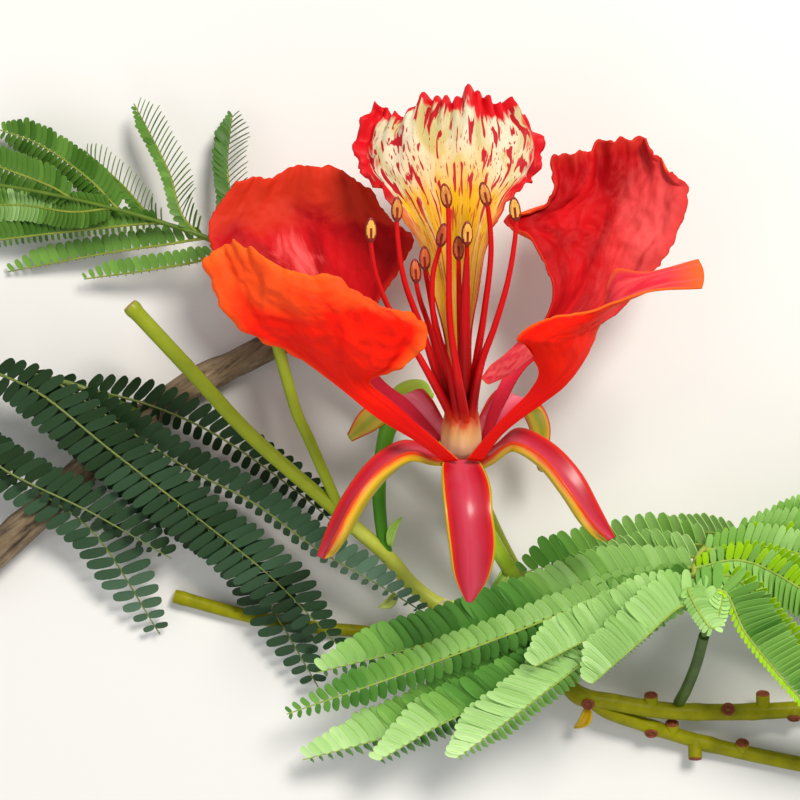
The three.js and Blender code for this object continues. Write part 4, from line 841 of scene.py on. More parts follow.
# Building materials
class Finish:
    """A material being built: its nodes, its links and its shader."""

    def __init__(self, name, roughness, coat=0.0, subsurface=0.0, shine=0.5):
        self.material = bpy.data.materials.new(name)
        self.material.use_nodes = True
        self.tree = self.material.node_tree
        self.shader = self.tree.nodes["Principled BSDF"]
        for socket, value in (("Roughness", roughness), ("Specular IOR Level", shine), ("Coat Weight", coat),
                              ("Coat Roughness", 0.25), ("Subsurface Weight", subsurface),
                              ("Subsurface Radius", (0.002, 0.0006, 0.0004))):
            self.shader.inputs[socket].default_value = value

    def node(self, kind, **settings):
        made = self.tree.nodes.new(kind)
        for key, value in settings.items():
            setattr(made, key, value)
        return made

    def put(self, value, socket):
        """Links another node's output to a socket, or writes a number or a colour to it."""
        if isinstance(value, bpy.types.NodeSocket):
            self.tree.links.new(value, socket)
        elif isinstance(value, (int, float)):
            socket.default_value = value
        else:
            socket.default_value = (*linear(value), 1)

    def map(self):
        """The piece's own map, x across the blade and y along it, whole and as its two shares."""
        uv = self.node("ShaderNodeUVMap", uv_map="UVMap").outputs["UV"]
        parts = self.node("ShaderNodeSeparateXYZ")
        self.put(uv, parts.inputs[0])
        return uv, parts.outputs[0], parts.outputs[1]

    def place(self):
        return self.node("ShaderNodeTexCoord").outputs["Object"]

    def mapped(self, vector, scale=(1, 1, 1), turn=(0, 0, 0)):
        mapping = self.node("ShaderNodeMapping")
        mapping.inputs["Scale"].default_value = scale
        mapping.inputs["Rotation"].default_value = turn
        self.put(vector, mapping.inputs["Vector"])
        return mapping.outputs["Vector"]

    def against(self, operation, vector, fixed, output="Value"):
        """Vector arithmetic with a fixed second vector."""
        made = self.node("ShaderNodeVectorMath", operation=operation)
        made.inputs[1].default_value = fixed
        self.put(vector, made.inputs[0])
        return made.outputs[output]

    def noise(self, vector, scale, detail=3.0, rough=0.55, warp=0.0):
        """Noise at one scale, or at a scale of its own along each axis."""
        if isinstance(scale, tuple):
            vector, scale = self.mapped(vector, scale), 1.0
        made = self.node("ShaderNodeTexNoise")
        for socket, value in (("Vector", vector), ("Scale", scale), ("Detail", detail), ("Roughness", rough),
                              ("Distortion", warp)):
            self.put(value, made.inputs[socket])
        return made.outputs["Fac"]

    def math(self, operation, *values, clamp=False):
        made = self.node("ShaderNodeMath", operation=operation, use_clamp=clamp)
        for socket, value in zip(made.inputs, values):
            self.put(value, socket)
        return made.outputs[0]

    def plus(self, first, second):
        return self.math("ADD", first, second)

    def minus(self, first, second):
        return self.math("SUBTRACT", first, second)

    def times(self, first, second, clamp=False):
        return self.math("MULTIPLY", first, second, clamp=clamp)

    def from_sides(self, share):
        """How far a share lies from the nearer of 0 and 1."""
        return self.math("MINIMUM", share, self.minus(1.0, share))

    def ramp(self, factor, *stops):
        """A ramp through stops, each a position and a colour or level."""
        made = self.node("ShaderNodeValToRGB")
        elements = made.color_ramp.elements
        while len(elements) < len(stops):
            elements.new(0.5)
        for element, (position, colour) in zip(elements, stops):
            element.position = position
            element.color = (*linear(colour), 1)
        self.put(factor, made.inputs["Fac"])
        return made.outputs["Color"]

    def mix(self, factor, first, second, blend="MIX"):
        made = self.node("ShaderNodeMix", data_type="RGBA", blend_type=blend)
        for socket, value in (("Factor", factor), (6, first), (7, second)):
            self.put(value, made.inputs[socket])
        return made.outputs[2]

    def colour(self, value):
        self.put(value, self.shader.inputs["Base Color"])

    def bump(self, height, strength, distance):
        """Adds relief, and returns the finished material."""
        made = self.node("ShaderNodeBump")
        for socket, value in (("Strength", strength), ("Distance", distance), ("Height", height)):
            self.put(value, made.inputs[socket])
        self.put(made.outputs["Normal"], self.shader.inputs["Normal"])
        return self.material


def petal_finish(name, deep, bright, rim, upper=None, glow=None, vein_bump=0.3, rim_width=0.04, claw=None,
                 upper_from=0.92, upper_run=0.22):
    """Silky petal skin with faint veins that fan out along it and soft blotches. It can have a warm rim and
    an upper part of their own colours, a claw colour, which may be lighter than the claw's own as painted
    light, and a sunlit patch, given by its colour, middle and reach."""
    finish = Finish(name, 0.55, subsurface=0.05, shine=0.08)
    uv, across, along = finish.map()
    veins = finish.noise(uv, (110, 4.0, 1), detail=4, warp=0.5)
    blotches = finish.noise(uv, (4.5, 4, 1), detail=5, warp=0.8)
    body = finish.mix(finish.ramp(blotches, (0.36, 0.0), (0.66, 1.0)), deep, bright)
    threads = finish.times(finish.ramp(veins, (0.5, 0.0), (0.7, 1.0)), 0.14)
    body = finish.mix(threads, body, dimmed(deep, 0.6))
    if upper:
        high = finish.plus(along, finish.times(blotches, 0.3))
        body = finish.mix(finish.ramp(high, (upper_from, 0.0), (upper_from + upper_run, 0.75)), body, upper)
    if glow:
        colour, middle, reach = glow
        folded = finish.noise(uv, (9, 5, 1), detail=5, rough=0.65, warp=1.0)
        wavy = finish.plus(finish.against("DISTANCE", uv, (*middle, 0)), finish.times(folded, 0.4))
        body = finish.mix(finish.ramp(wavy, (0.2, 0.9), (0.2 + reach, 0.0)), body, colour)
    if claw:
        body = finish.mix(finish.ramp(along, (0.22, 1.0), (0.36, 0.0)), body, claw)
    margin = finish.math("MINIMUM", finish.from_sides(across), finish.minus(1.0, along))
    broken = finish.plus(margin, finish.times(blotches, 0.08))
    edge = finish.times(finish.ramp(broken, (rim_width, 0.85), (rim_width + 0.06, 0.0)),
                        finish.ramp(along, (0.34, 0.0), (0.6, 1.0)))
    finish.colour(finish.mix(edge, body, rim))
    return finish.bump(finish.plus(finish.times(veins, 0.4), blotches), vein_bump, 0.0004)


def banner_finish():
    """Cream banner petal: yellow middle, crimson dashes that fan out, and a crimson ruffled margin."""
    finish = Finish("banner_face", 0.55, subsurface=0.05, shine=0.2)
    uv, across, along = finish.map()
    crimson, red = "b0101c", "cc0a16"
    centre = finish.math("ABSOLUTE", finish.minus(across, 0.5))
    rise = finish.ramp(along, (0.0, 0.1), (0.14, 0.3), (0.28, 1.0), (0.62, 1.0), (0.74, 0.45), (0.88, 0.05))
    spread = finish.ramp(along, (0.5, 0.5), (0.7, 0.0))
    inner = finish.ramp(finish.minus(centre, spread), (0.1, 1.0), (0.22, 0.8), (0.34, 0.3), (0.46, 0.0))
    patch = finish.noise(uv, (20, 2.4, 1), detail=4, warp=0.25)
    broad = finish.noise(uv, (6, 4, 1), detail=4, warp=0.6)
    yellowness = finish.times(finish.mix(1.0, rise, inner, "MULTIPLY"), 1.25, clamp=True)
    yellowness = finish.times(yellowness, finish.ramp(patch, (0.36, 0.65), (0.56, 1.0)))
    pale = finish.mix(finish.ramp(broad, (0.36, 0.0), (0.52, 1.0)), "bcae74", "d8cdb2")
    ground = finish.mix(yellowness, pale, "dca400")
    dashes = finish.noise(uv, (34, 11, 1), detail=1.5, rough=0.4, warp=0.5)
    small = finish.noise(uv, (95, 26, 1), detail=2, rough=0.5, warp=0.4)
    long_lines = finish.noise(uv, (46, 3.2, 1), detail=1.5, warp=0.15)
    side = finish.ramp(centre, (0.08, 0.02), (0.3, 0.055))
    speck = finish.ramp(finish.plus(dashes, side), (0.61, 0.0), (0.635, 1.0))
    fleck = finish.ramp(finish.plus(small, side), (0.665, 0.0), (0.70, 1.0))
    streaks = finish.mix(finish.ramp(along, (0.42, 1.0), (0.62, 0.0)), finish.math("MAXIMUM", speck, fleck),
                         finish.ramp(long_lines, (0.62, 0.0), (0.66, 1.0)))
    torn = finish.plus(finish.times(dashes, 0.16), finish.times(broad, 0.16))
    end = finish.times(finish.minus(1.0, along), 2.2)
    edge = finish.plus(finish.math("MINIMUM", finish.from_sides(across), end), torn)
    margin = finish.times(finish.ramp(edge, (0.205, 1.0), (0.23, 0.0)),
                          finish.ramp(along, (0.45, 0.0), (0.66, 1.0)))
    fold = finish.against("DISTANCE", finish.mapped(uv, (1, 2.2, 1)), (0.72, 2.24, 0))
    folded = finish.ramp(finish.plus(fold, torn), (0.34, 1.0), (0.37, 0.0))
    speckled = finish.mix(streaks, ground, crimson)
    finish.colour(finish.mix(finish.math("MAXIMUM", margin, folded), speckled, red))
    return finish.bump(finish.plus(long_lines, patch), 0.4, 0.0004)


def sepal_face(name, face, middle, flush, line="d0401a", width=0.012):
    """The crimson face that a sepal turns to the petals, lined at both sides, with a paler middle that is a
    painted sheen.
    """
    finish = Finish(name, 0.34, coat=0.2, shine=0.25)
    uv, across, _ = finish.map()
    side = finish.from_sides(across)
    grain = finish.noise(uv, (7, 5, 1), detail=4, warp=0.5)
    # Painted sheen: the middle colour lightens the face away from its sides
    body = finish.mix(finish.ramp(side, (0.16, 0.0), (0.42, 0.75)), face, middle)
    body = finish.mix(finish.ramp(grain, (0.4, 0.0), (0.65, 0.4)), body, flush)
    lined = finish.ramp(side, (0.0, line), (width, line), (width + 0.016, "cc1c0c"), (0.085, "c01010"))
    finish.colour(finish.mix(finish.ramp(side, (0.085, 0.0), (0.16, 1.0)), lined, body))
    return finish.bump(grain, 0.12, 0.0002)


def sepal_back_finish(back):
    """A sepal's yellow-green back, olive down the middle and orange at both margins."""
    finish = Finish("sepal_outer_face", 0.36, coat=0.2)
    uv, across, _ = finish.map()
    grain = finish.noise(uv, (10, 5, 1), detail=4, warp=0.3)
    wavy = finish.plus(finish.from_sides(across), finish.times(finish.minus(grain, 0.5), 0.08))
    finish.colour(finish.ramp(wavy, (0.0, "e0500f"), (0.03, "dfa40e"), (0.07, back), (0.26, back),
                              (0.45, "8c9610")))
    return finish.bump(grain, 0.2, 0.0002)


def skin_finish(name, low, high, scale=260, roughness=0.42, coat=0.1, shine=0.2):
    """Smooth plant skin: fine mottling between two colours, with faint relief."""
    finish = Finish(name, roughness, coat=coat, shine=shine)
    place = finish.place()
    mottle = finish.noise(place, scale, detail=4, warp=0.3)
    broad = finish.noise(place, scale * 0.18, detail=2)
    base = finish.mix(finish.ramp(mottle, (0.35, 0.0), (0.7, 1.0)), low, high)
    finish.colour(finish.mix(finish.times(broad, 0.45), base, high))
    return finish.bump(mottle, 0.25, 0.00012)


def leaflet_finish(name, colour):
    """One plain leaf green, with the faintest relief."""
    finish = Finish(name, 0.42, shine=0.15)
    finish.colour(colour)
    return finish.bump(finish.noise(finish.place(), 900, detail=2), 0.15, 0.0001)


def by_place_finish(name, start, end, stops, coat=0.0, mottle=0.08, scale=300, shine=0.5, fibres=None):
    """Colour that runs along a line between two places of the layout, softly broken up. Fibres, given by
    their tilt and by their grain's scale along them, break it up lengthwise."""
    finish = Finish(name, 0.45, coat=coat, subsurface=0.04, shine=shine)
    place = finish.place()
    start, end = placed([start, end])
    step = end - start
    shifted = finish.against("SUBTRACT", place, tuple(start), "Vector")
    along = finish.against("DOT_PRODUCT", shifted, tuple(step / float(np.dot(step, step))))
    if fibres:
        tilt, fineness = fibres
        turned = finish.mapped(place, turn=(-tilt, 0, 0))
        grain = finish.noise(finish.mapped(turned, (1, fineness, 1)), scale, detail=3, warp=0.1)
    else:
        grain = finish.noise(place, scale, detail=4, warp=0.3)
    finish.colour(finish.ramp(finish.plus(along, finish.times(finish.minus(grain, 0.5), mottle)), *stops))
    return finish.bump(grain, 0.3, 0.00015)


def bark_finish(colour):
    """Rough bark, streaked along the twig."""
    finish = Finish("bark", 0.9)
    along = finish.mapped(finish.place(), turn=(0, 0, -TWIG_ANGLE))
    streaks = finish.noise(finish.mapped(along, (0.14, 1, 1)), 650, detail=6, rough=0.7, warp=0.5)
    patches = finish.noise(along, 130, detail=4, warp=0.8)
    shade = finish.plus(finish.times(streaks, 0.7), finish.times(patches, 0.3))
    finish.colour(finish.ramp(shade, (0.38, "2f251d"), (0.48, colour), (0.56, "7c6a52"), (0.66, "a8957a")))
    return finish.bump(streaks, 0.8, 0.0008)


# Shapes of the parts of the bloom
def petal(name, stations, materials, thickness, seed, ruffle, wrinkle, crimping, ragged, grid):
    """A petal: a grid laid on its rails, ruffled and torn at the rim and creased like thin silk. Thickness,
    ruffle, wrinkle and the depth of the ragged edge are in mm, crimping is a share of the ruffle."""
    piece, u, v = sheet_of(name, *grid)
    places, normal, out = on_rails(stations, u, v)
    rng = np.random.default_rng(seed)
    phases = rng.uniform(0, FULL_TURN, 8)
    side = np.abs(2 * u - 1)
    margin = np.maximum(smooth(v, 0.72, 1.0), smooth(side, 0.66, 1.0) * smooth(v, 0.36, 0.6))
    wave = sum(height * np.sin(FULL_TURN * turns * u + along * v + phase)
               for (height, turns, along), phase in zip(WAVES, phases))
    crimp = (np.sin(FULL_TURN * 13 * u + 5 * v + phases[3]) * smooth(v, 0.7, 1)
             + np.sin(FULL_TURN * 12 * v + 4 * u + phases[4]) * smooth(side, 0.7, 1))
    open_blade = smooth(v, 0.3, 0.55)
    rails = np.asarray(stations, float)
    widths = np.linalg.norm(np.diff(rails, axis=1), axis=2).sum(axis=1)
    span = smooth(np.interp(v, np.linspace(0, 1, len(rails)), widths), *FULL_RUFFLE_WIDTHS)
    ruffles = ruffle * margin * (0.7 * wave + crimping * crimp * margin ** 2)
    rise = span * (ruffles + wrinkle * creases(places, PETAL_FOLDS, seed) * open_blade)
    notch = sum(rng.normal() * np.sin(FULL_TURN * (i + 2) * u + phases[i % 8]) / (i + 2)
                for i in range(NOTCH_WAVES))
    reach = 0.75 * span * ruffle * notch * smooth(v, 0.8, 1)
    tears = span * ragged * np.clip(creases(places, PETAL_JAGS, seed), -1.4, 1.2)
    end_tears = tears * smooth(v, 0.9, 1.0)
    side_tears = tears * smooth(side, 0.88, 1.0) * open_blade * np.sign(2 * u - 1)
    places = places + normal * rise[:, None] + out * (reach + end_tears)[:, None]
    set_places(piece, placed(places + np.cross(out, normal) * side_tears[:, None]))
    use(piece, *materials)
    thicken(piece, thickness)
    return piece


def sepal(name, stations, materials, thickness, flare, run):
    """A thick sepal: its inner face laid on the rails and run on under the petals, and a full back. Flare
    widens its foot, and run is how far in mm it goes on inward."""
    stations = np.asarray(stations, float)
    middle = stations[:, stations.shape[1] // 2]
    foot = middle[0] + unit(middle[0] - middle[1]) * run + (stations[0] - middle[0]) * 0.8 * flare
    stations[1] = middle[1] + (stations[1] - middle[1]) * (0.6 + 0.4 * flare)
    stations[0] = middle[0] + (stations[0] - middle[0]) * flare
    piece, u, v = sheet_of(name, 24, 72)
    places, normal, _ = on_rails(np.concatenate((foot[None], stations)), u, v)
    rim = smooth(1 - np.abs(2 * u - 1), 0, 0.16)
    set_places(piece, placed(places + normal * (0.1 + 0.15 * rim)[:, None]))
    group = piece.vertex_groups.new(name="thick")
    arch = np.sqrt(np.clip(1 - (2 * u - 1) ** 6, 0, 1))
    end = np.sqrt(np.clip(1 - np.clip((v - 0.86) / 0.14, 0, 1) ** 3, 0, 1))
    for index, weight in enumerate((0.18 + 0.82 * arch) * (0.3 + 0.7 * end)):
        group.add([index], float(weight), "REPLACE")
    use(piece, *materials)
    thicken(piece, thickness, offset=-1, group=group.name, thinnest=0.1)
    return piece


def anther_of(name, middle, toward, sac, groove, seed):
    """An anther: a ball drawn out into two sacs, with a groove between them and a rim about them."""
    piece = primitive(name, bpy.ops.mesh.primitive_uv_sphere_add, segments=28, ring_count=22, radius=1)
    ball = local_places(piece)
    x, y, z = ball.T
    pinch = 1 - 0.30 * np.exp(-(x / 0.22) ** 2) * (np.abs(z) < 0.95)
    wide, deep, long = x * 1.12 * (1 - 0.12 * z), y * pinch * 0.9 + 0.16 * z ** 2, z * 2.4
    axis = unit(toward)
    face = np.array((0.12 * math.sin(seed), -0.15, 1.0))
    face = unit(face - axis * face.dot(axis))
    side = np.cross(face, axis)
    set_places(piece, placed(np.asarray(middle) + wide[:, None] * side + deep[:, None] * face
                             + long[:, None] * axis))
    use(piece, sac, groove)
    for polygon in piece.data.polygons:
        cx, cy, cz = ball[list(polygon.vertices)].mean(axis=0)
        rim = cx * cx + cz * cz * 0.92 > 0.56
        seam = abs(cx) < 0.14 - 0.16 * cz
        polygon.material_index = 1 if rim or seam or cy < -0.2 else 0
    return piece


def turned(name, profile, lobes, depth):
    """A turned body on the bloom's axis, from radii and heights in mm, fluted by its lobes."""
    radii, heights = np.array(profile).T
    piece = primitive(name, bpy.ops.mesh.primitive_cylinder_add, vertices=80, radius=1, depth=1,
                      end_fill_type="TRIFAN")
    bpy.ops.object.mode_set(mode="EDIT")
    mesh = bmesh.from_edit_mesh(piece.data)
    bpy.ops.mesh.select_all(action="DESELECT")
    for edge in mesh.edges:
        low, high = edge.verts
        edge.select = abs(low.co.z - high.co.z) > 0.5
    bmesh.update_edit_mesh(piece.data)
    bpy.ops.mesh.subdivide(number_cuts=24)
    bpy.ops.object.mode_set(mode="OBJECT")
    x, y, z = local_places(piece).T
    share = z + 0.5
    walk = np.linspace(0, 1, len(profile))
    angle = np.arctan2(y, x)
    fluting = 1 - depth * (0.15 + 0.85 * share ** 2) * np.cos(lobes * angle)
    spoke = np.hypot(x, y) * np.interp(share, walk, radii) * fluting
    front = np.array((0, -math.sin(BLOOM_TILT), math.cos(BLOOM_TILT)))
    side = np.array((1.0, 0, 0))
    set_places(piece, placed(np.array(BLOOM_CENTRE) + (spoke * np.cos(angle))[:, None] * side
                             - (spoke * np.sin(angle))[:, None] * front
                             + np.interp(share, walk, heights)[:, None] * BLOOM_AXIS))
    bpy.ops.object.mode_set(mode="EDIT")
    bpy.ops.mesh.select_all(action="SELECT")
    bpy.ops.mesh.normals_make_consistent(inside=False)
    bpy.ops.object.mode_set(mode="OBJECT")
    return piece


# Shapes of the leaves, stalks and bracts
def leaflet_template():
    """One oblong leaflet as a closed thin blade: x along it, y across, z up, with its faces."""
    piece, u, v = sheet_of("leaflet_pattern", len(LEAFLET_ROWS) - 1, 2)
    along = np.interp(u, np.linspace(0, 1, len(LEAFLET_ROWS)), LEAFLET_ROWS)
    wide = np.sqrt(np.clip(1 - np.abs(2 * (0.03 + 0.955 * along) - 1) ** 3.4, 0, 1))
    across = (v - 0.5) * wide
    set_places(piece, np.stack((along + 0.05 * across, across, 0.2 * np.abs(across)), 1))
    thicken(piece, LEAFLET_THICKNESS * MM, (0, 0))
    places = local_places(piece)
    faces = [tuple(polygon.vertices) for polygon in piece.data.polygons]
    bpy.data.objects.remove(piece)
    return places, faces


def spray(pinna, half_width, rng, places, first, habit):
    """Leaflet places for one pinna: pairs of leaflets along its rachilla, left ones first."""
    pitch, left, right = habit
    _, _, length = evenly(pinna, [0.5])
    shares = np.arange(first, length - 0.5, pitch) / length
    here, ahead, _ = evenly(pinna, shares)
    blocks, signs = [], []
    for foot, forward, share in zip(here, ahead, shares):
        across = unit(np.cross(UP, forward))
        normal = np.cross(forward, across)
        taper = min(1.0, ROOT_TAPER[0] + ROOT_TAPER[1] * share, TIP_TAPER[0] + TIP_TAPER[1] * (1 - share))
        for sign, (reach, lean, tilt, roll, slim) in ((1, left), (-1, right)):
            forward_turn = TIP_TURN * max(share - TIP_TURN_FROM, 0)
            lean = math.radians(lean - forward_turn) + rng.normal(0, LEAN_SPREAD)
            tilt = tilt + rng.normal(0, TILT_SPREAD)
            long_way = forward * math.cos(lean) + sign * across * math.sin(lean)
            long_way = long_way * math.cos(tilt) + normal * math.sin(tilt)
            wide_way = unit(np.cross(normal, long_way))
            flat_up = np.cross(long_way, wide_way)
            roll = sign * roll + rng.normal(0, ROLL_SPREAD)
            wide_way = wide_way * math.cos(roll) + flat_up * math.sin(roll)
            flat_up = np.cross(long_way, wide_way)
            size = reach * half_width * taper * rng.uniform(*LENGTH_RANGE)
            width = min(slim, size * 0.55) * rng.uniform(*WIDTH_RANGE)
            lift = places[:, 2:] * width - 0.06 * size * places[:, 0:1] ** 2
            blocks.append(foot + sign * across * LEAFLET_START + places[:, 0:1] * size * long_way
                          + places[:, 1:2] * width * wide_way + lift * flat_up)
            signs.append(sign)
    return blocks, signs


def leaflets_of(name, seed, greens, glow):
    """All leaflets of a leaf as one mesh, each with the green that the light on its pinna gives it."""
    places, faces = leaflet_template()
    rng = np.random.default_rng(seed)
    light_of, habits = LIGHT[name], HABITS[name]
    blocks, looks = [], []
    for key, (path, half_width) in LEAVES[name]["pinnae"].items():
        habit = [own or usual for own, usual in zip(habits.get(key, habits["usual"]), habits["usual"])]
        made, signs = spray(path, half_width, rng, places, FIRST_LEAFLETS[name], habit)
        blocks.extend(made)
        for number, (block, sign) in enumerate(zip(made, signs)):
            side_key = key + ("+" if sign > 0 else "-")
            run = light_of.get(side_key, light_of.get(key, light_of["*"]))
            share = number / max(len(made) - 1, 1)
            light = np.interp(share, np.linspace(0, 1, len(run)), run) + rng.normal(0, LIGHT_SPREAD)
            light += PATCH_LIGHT * noise.noise(Vector(block[0] / PATCH_SIZE))
            pick = int(np.clip(round(light * (len(greens) - 1)), 0, len(greens) - 1))
            looks.append(len(greens) if rng.random() < GLOWING.get(side_key, 0) else pick)
    mesh = bpy.data.meshes.new(f"{name}_leaflets")
    corners = [tuple(i + n * len(places) for i in face) for n in range(len(blocks)) for face in faces]
    mesh.from_pydata(placed(np.vstack(blocks)).tolist(), [], corners)
    piece = bpy.data.objects.new(mesh.name, mesh)
    bpy.context.scene.collection.objects.link(piece)
    use(piece, *greens, *glow)
    mesh.polygons.foreach_set("material_index", np.repeat(looks, len(faces)).astype(np.int32))
    return piece


def ribs_of(name, rachis_material, material):
    """The leaf's rachis and the rachillas of its pinnae, joined."""
    leaf = LEAVES[name]
    root, tip = leaf["radii"]
    radii = [root * of_root + tip * of_tip for of_root, of_tip in RACHIS_TAPER]
    parts = [tube(f"{name}_ribs", leaf["rachis"], radii, 12, 50)]
    use(parts[0], rachis_material)
    for key, (path, _) in leaf["pinnae"].items():
        radii = [RIB_RADIUS * share for share in RIB_TAPER]
        parts.append(tube(f"{name}_{key}", path, radii, 8, 40, ((0.0, 0.5, 0.03),)))
        use(parts[-1], material)
    return join(f"{name}_ribs", parts)


def bract(name, foot, tip, width, material):
    """A small pointed bract: a folded and bowed blade from its foot to its tip."""
    piece, u, v = sheet_of(name, 6, 14)
    foot, tip = np.asarray(foot, float), np.asarray(tip, float)
    way = tip - foot
    across = unit(np.cross(UP, way))
    wide = width * np.sin(math.pi * (0.08 + 0.92 * v) ** 0.8) ** 0.7
    side = 2 * u - 1
    bow = np.sin(math.pi * v)
    sideways = side * wide / 2 + 0.125 * np.linalg.norm(way) * bow
    upward = 0.8 * bow + 0.5 * side ** 2 * wide
    set_places(piece, placed(foot + v[:, None] * way + sideways[:, None] * across + upward[:, None] * UP))
    use(piece, material)
    thicken(piece, BRACT_THICKNESS, (0, 0))
    return piece


class SprigColours(bpy.types.PropertyGroup):
    """Colours of the sprig that a user would change."""

    def colour(label, description, code):
        return bpy.props.FloatVectorProperty(name=label, description=description, subtype="COLOR",
                                             size=3, min=0, max=1, default=linear(code))

    rear_petal: colour("Rear petals", "Inner face of the two rear petals", "9c060c")
    rear_petal_light: colour("Rear petals, light", "Lighter patches of the rear petals", "cc1218")
    front_petal: colour("Front petals", "Outer face of the two front petals", "e61202")
    front_petal_light: colour("Front petals, light", "Lighter patches of the front petals", "ff2006")
    petal_rim: colour("Petal rim", "Orange rim of the two front petals", "f8641c")
    sepal_face: colour("Sepal face", "Inner face of the sepals", "a40c1e")
    sepal_back: colour("Sepal back", "Outer face of the sepals", "b89c0c")
    filament: colour("Filaments", "Stamens' filaments", "b4060a")
    anther: colour("Anthers", "Red pollen sacs", "b03c22")
    stalk: colour("Stalks", "Green flower stalks", "8f9c1c")
    sunlit_leaf: colour("Sunlit leaflets", "Leaflets of the right leaf", "7eb04e")
    shaded_leaf: colour("Shaded leaflets", "Leaflets of the left leaf", "1e3419")
    bark: colour("Bark", "Bark of the woody twig", "6c5a40")


class SprigSizes(bpy.types.PropertyGroup):
    """Sizes of the sprig's finer shapes."""

    def distance(label, description, default, least):
        return bpy.props.FloatProperty(name=label, description=description, subtype="DISTANCE",
                                       unit="LENGTH", default=default, min=least)

    petal_thickness: distance("Petal thickness", "Thickness of a petal", 0.00045, 0.0001)
    ruffle: distance("Ruffle", "How far the petal margins wave", 0.0013, 0)
    camera_height: distance("Camera height", "Lens above the table", 0.4764, 0.2)


class SPRIG_OT_petals(bpy.types.Operator):
    """Model the banner petal and the four red petals"""

    bl_idname = "sprig.petals"
    bl_label = "Petals"

    def execute(self, context):
        colours, sizes = context.scene.sprig_colours, context.scene.sprig_sizes
        ruffle, thick = sizes.ruffle * MM, sizes.petal_thickness * MM
        rear, rear_light, rim = colours.rear_petal, colours.rear_petal_light, colours.petal_rim
        front = colours.front_petal
        # The rear claws' pinkish crimson is partly their own colour and partly painted light: lighter than
        # their own, against the shade that falls on them
        coral, claw = "ee5a58", "d42a42"
        left_face = petal_finish("rear_left_face", rear, rear_light, "d83418", "c8341a",
                                 (coral, (0.42, 0.66), 0.1), rim_width=0.015, claw=claw)
        right_face = petal_finish("rear_right_face", rear, rear_light, "d4382a", "de4030",
                                  (coral, (0.86, 0.72), 0.34), rim_width=0.02, claw=claw,
                                  upper_from=1.01, upper_run=0.09)
        outer = petal_finish("front_petal_outer_face", front, colours.front_petal_light, rim, "f4561c",
                             vein_bump=0.5, claw="d8100a", upper_from=0.88)
        inner = petal_finish("front_petal_inner_face", "d8283a", coral, rim)
        rim_finish = petal_finish("petal_rim", front, rim, rim, vein_bump=0.1)
        rear_rim = petal_finish("rear_petal_rim", rear_light, "bc221a", "cc301c", vein_bump=0.1)
        banner_face = banner_finish()
        looks = {"banner": (banner_face, banner_face, rear_rim),
                 "rear_left": (left_face, outer, rear_rim), "rear_right": (right_face, outer, rear_rim),
                 "front_left": (outer, inner, rim_finish), "front_right": (outer, inner, rim_finish)}
        for side, (slot, seed, waves, wrinkle, crimping, ragged, grid) in PETAL_MAKES.items():
            stations = self.with_claw(side) if side in CLAW_ENDS else PETALS[side]
            parts = [petal(f"{side}_petal", stations, looks[side], thick, seed, ruffle * waves, wrinkle,
                           crimping, ragged, grid)]
            if side in FLAPS:
                parts.append(petal("flap", FLAPS[side], looks[side], thick, *FLAP_MAKE))
            finish_piece(join(f"{side}_petal", parts), (f"petal_{side}",))
        return {"FINISHED"}

    def with_claw(self, side):
        """A front petal's stations with the first one moved to its claw's end over the column's foot."""
        stations = np.array(PETALS[side])
        start, end = np.array(CLAW_ENDS[side])
        if np.dot(end - start, stations[1][-1] - stations[1][0]) < 0:
            start, end = end, start
        stations[0] = start + np.linspace(0, 1, len(stations[0]))[:, None] * (end - start)
        return stations


class SPRIG_OT_sepals(bpy.types.Operator):
    """Model the five thick sepals"""

    bl_idname = "sprig.sepals"
    bl_label = "Sepals"

    def execute(self, context):
        colours = context.scene.sprig_colours
        # The paler middle colour of the sepal faces is a painted sheen
        face, middle, flush = colours.sepal_face, "c43e54", "c01030"
        inner = sepal_face("sepal_inner_face", face, middle, flush)
        front_inner = sepal_face("front_sepal_inner_face", face, middle, flush, "b09a0c", 0.034)
        # Painted light: the rear sepals' inner faces are a lighter, sunlit copy of the sepal face, with a
        # still paler middle of painted sheen
        rear_inner_painted_light = sepal_face("rear_sepal_inner_face_painted_light", "d83c54", "f08498", "e05068")
        outer = sepal_back_finish(colours.sepal_back)
        rim = skin_finish("sepal_margin", "c8280c", "d8480c")
        olive_rim = skin_finish("front_sepal_margin", "a88c0c", "c46a10")
        # Each sepal's inner face and rim, its thickness in mm, and its foot's flare and run
        styles = {
            "front": (front_inner, olive_rim, 1.4, 1.24, 1.0),
            "front_left": (inner, rim, 2.0, 1.35, 4.2),
            "front_right": (inner, rim, 2.0, 1.35, 4.2),
            "rear_left": (rear_inner_painted_light, rim, 1.25, 1.16, 2.4),
            "rear_right": (rear_inner_painted_light, rim, 1.25, 1.16, 2.4),
        }
        for side, (inside, edge, thickness, flare, run) in styles.items():
            made = sepal(f"{side}_sepal", SEPALS[side], (inside, outer, edge), thickness, flare, run)
            finish_piece(made, (f"sepal_{side}",))
        return {"FINISHED"}


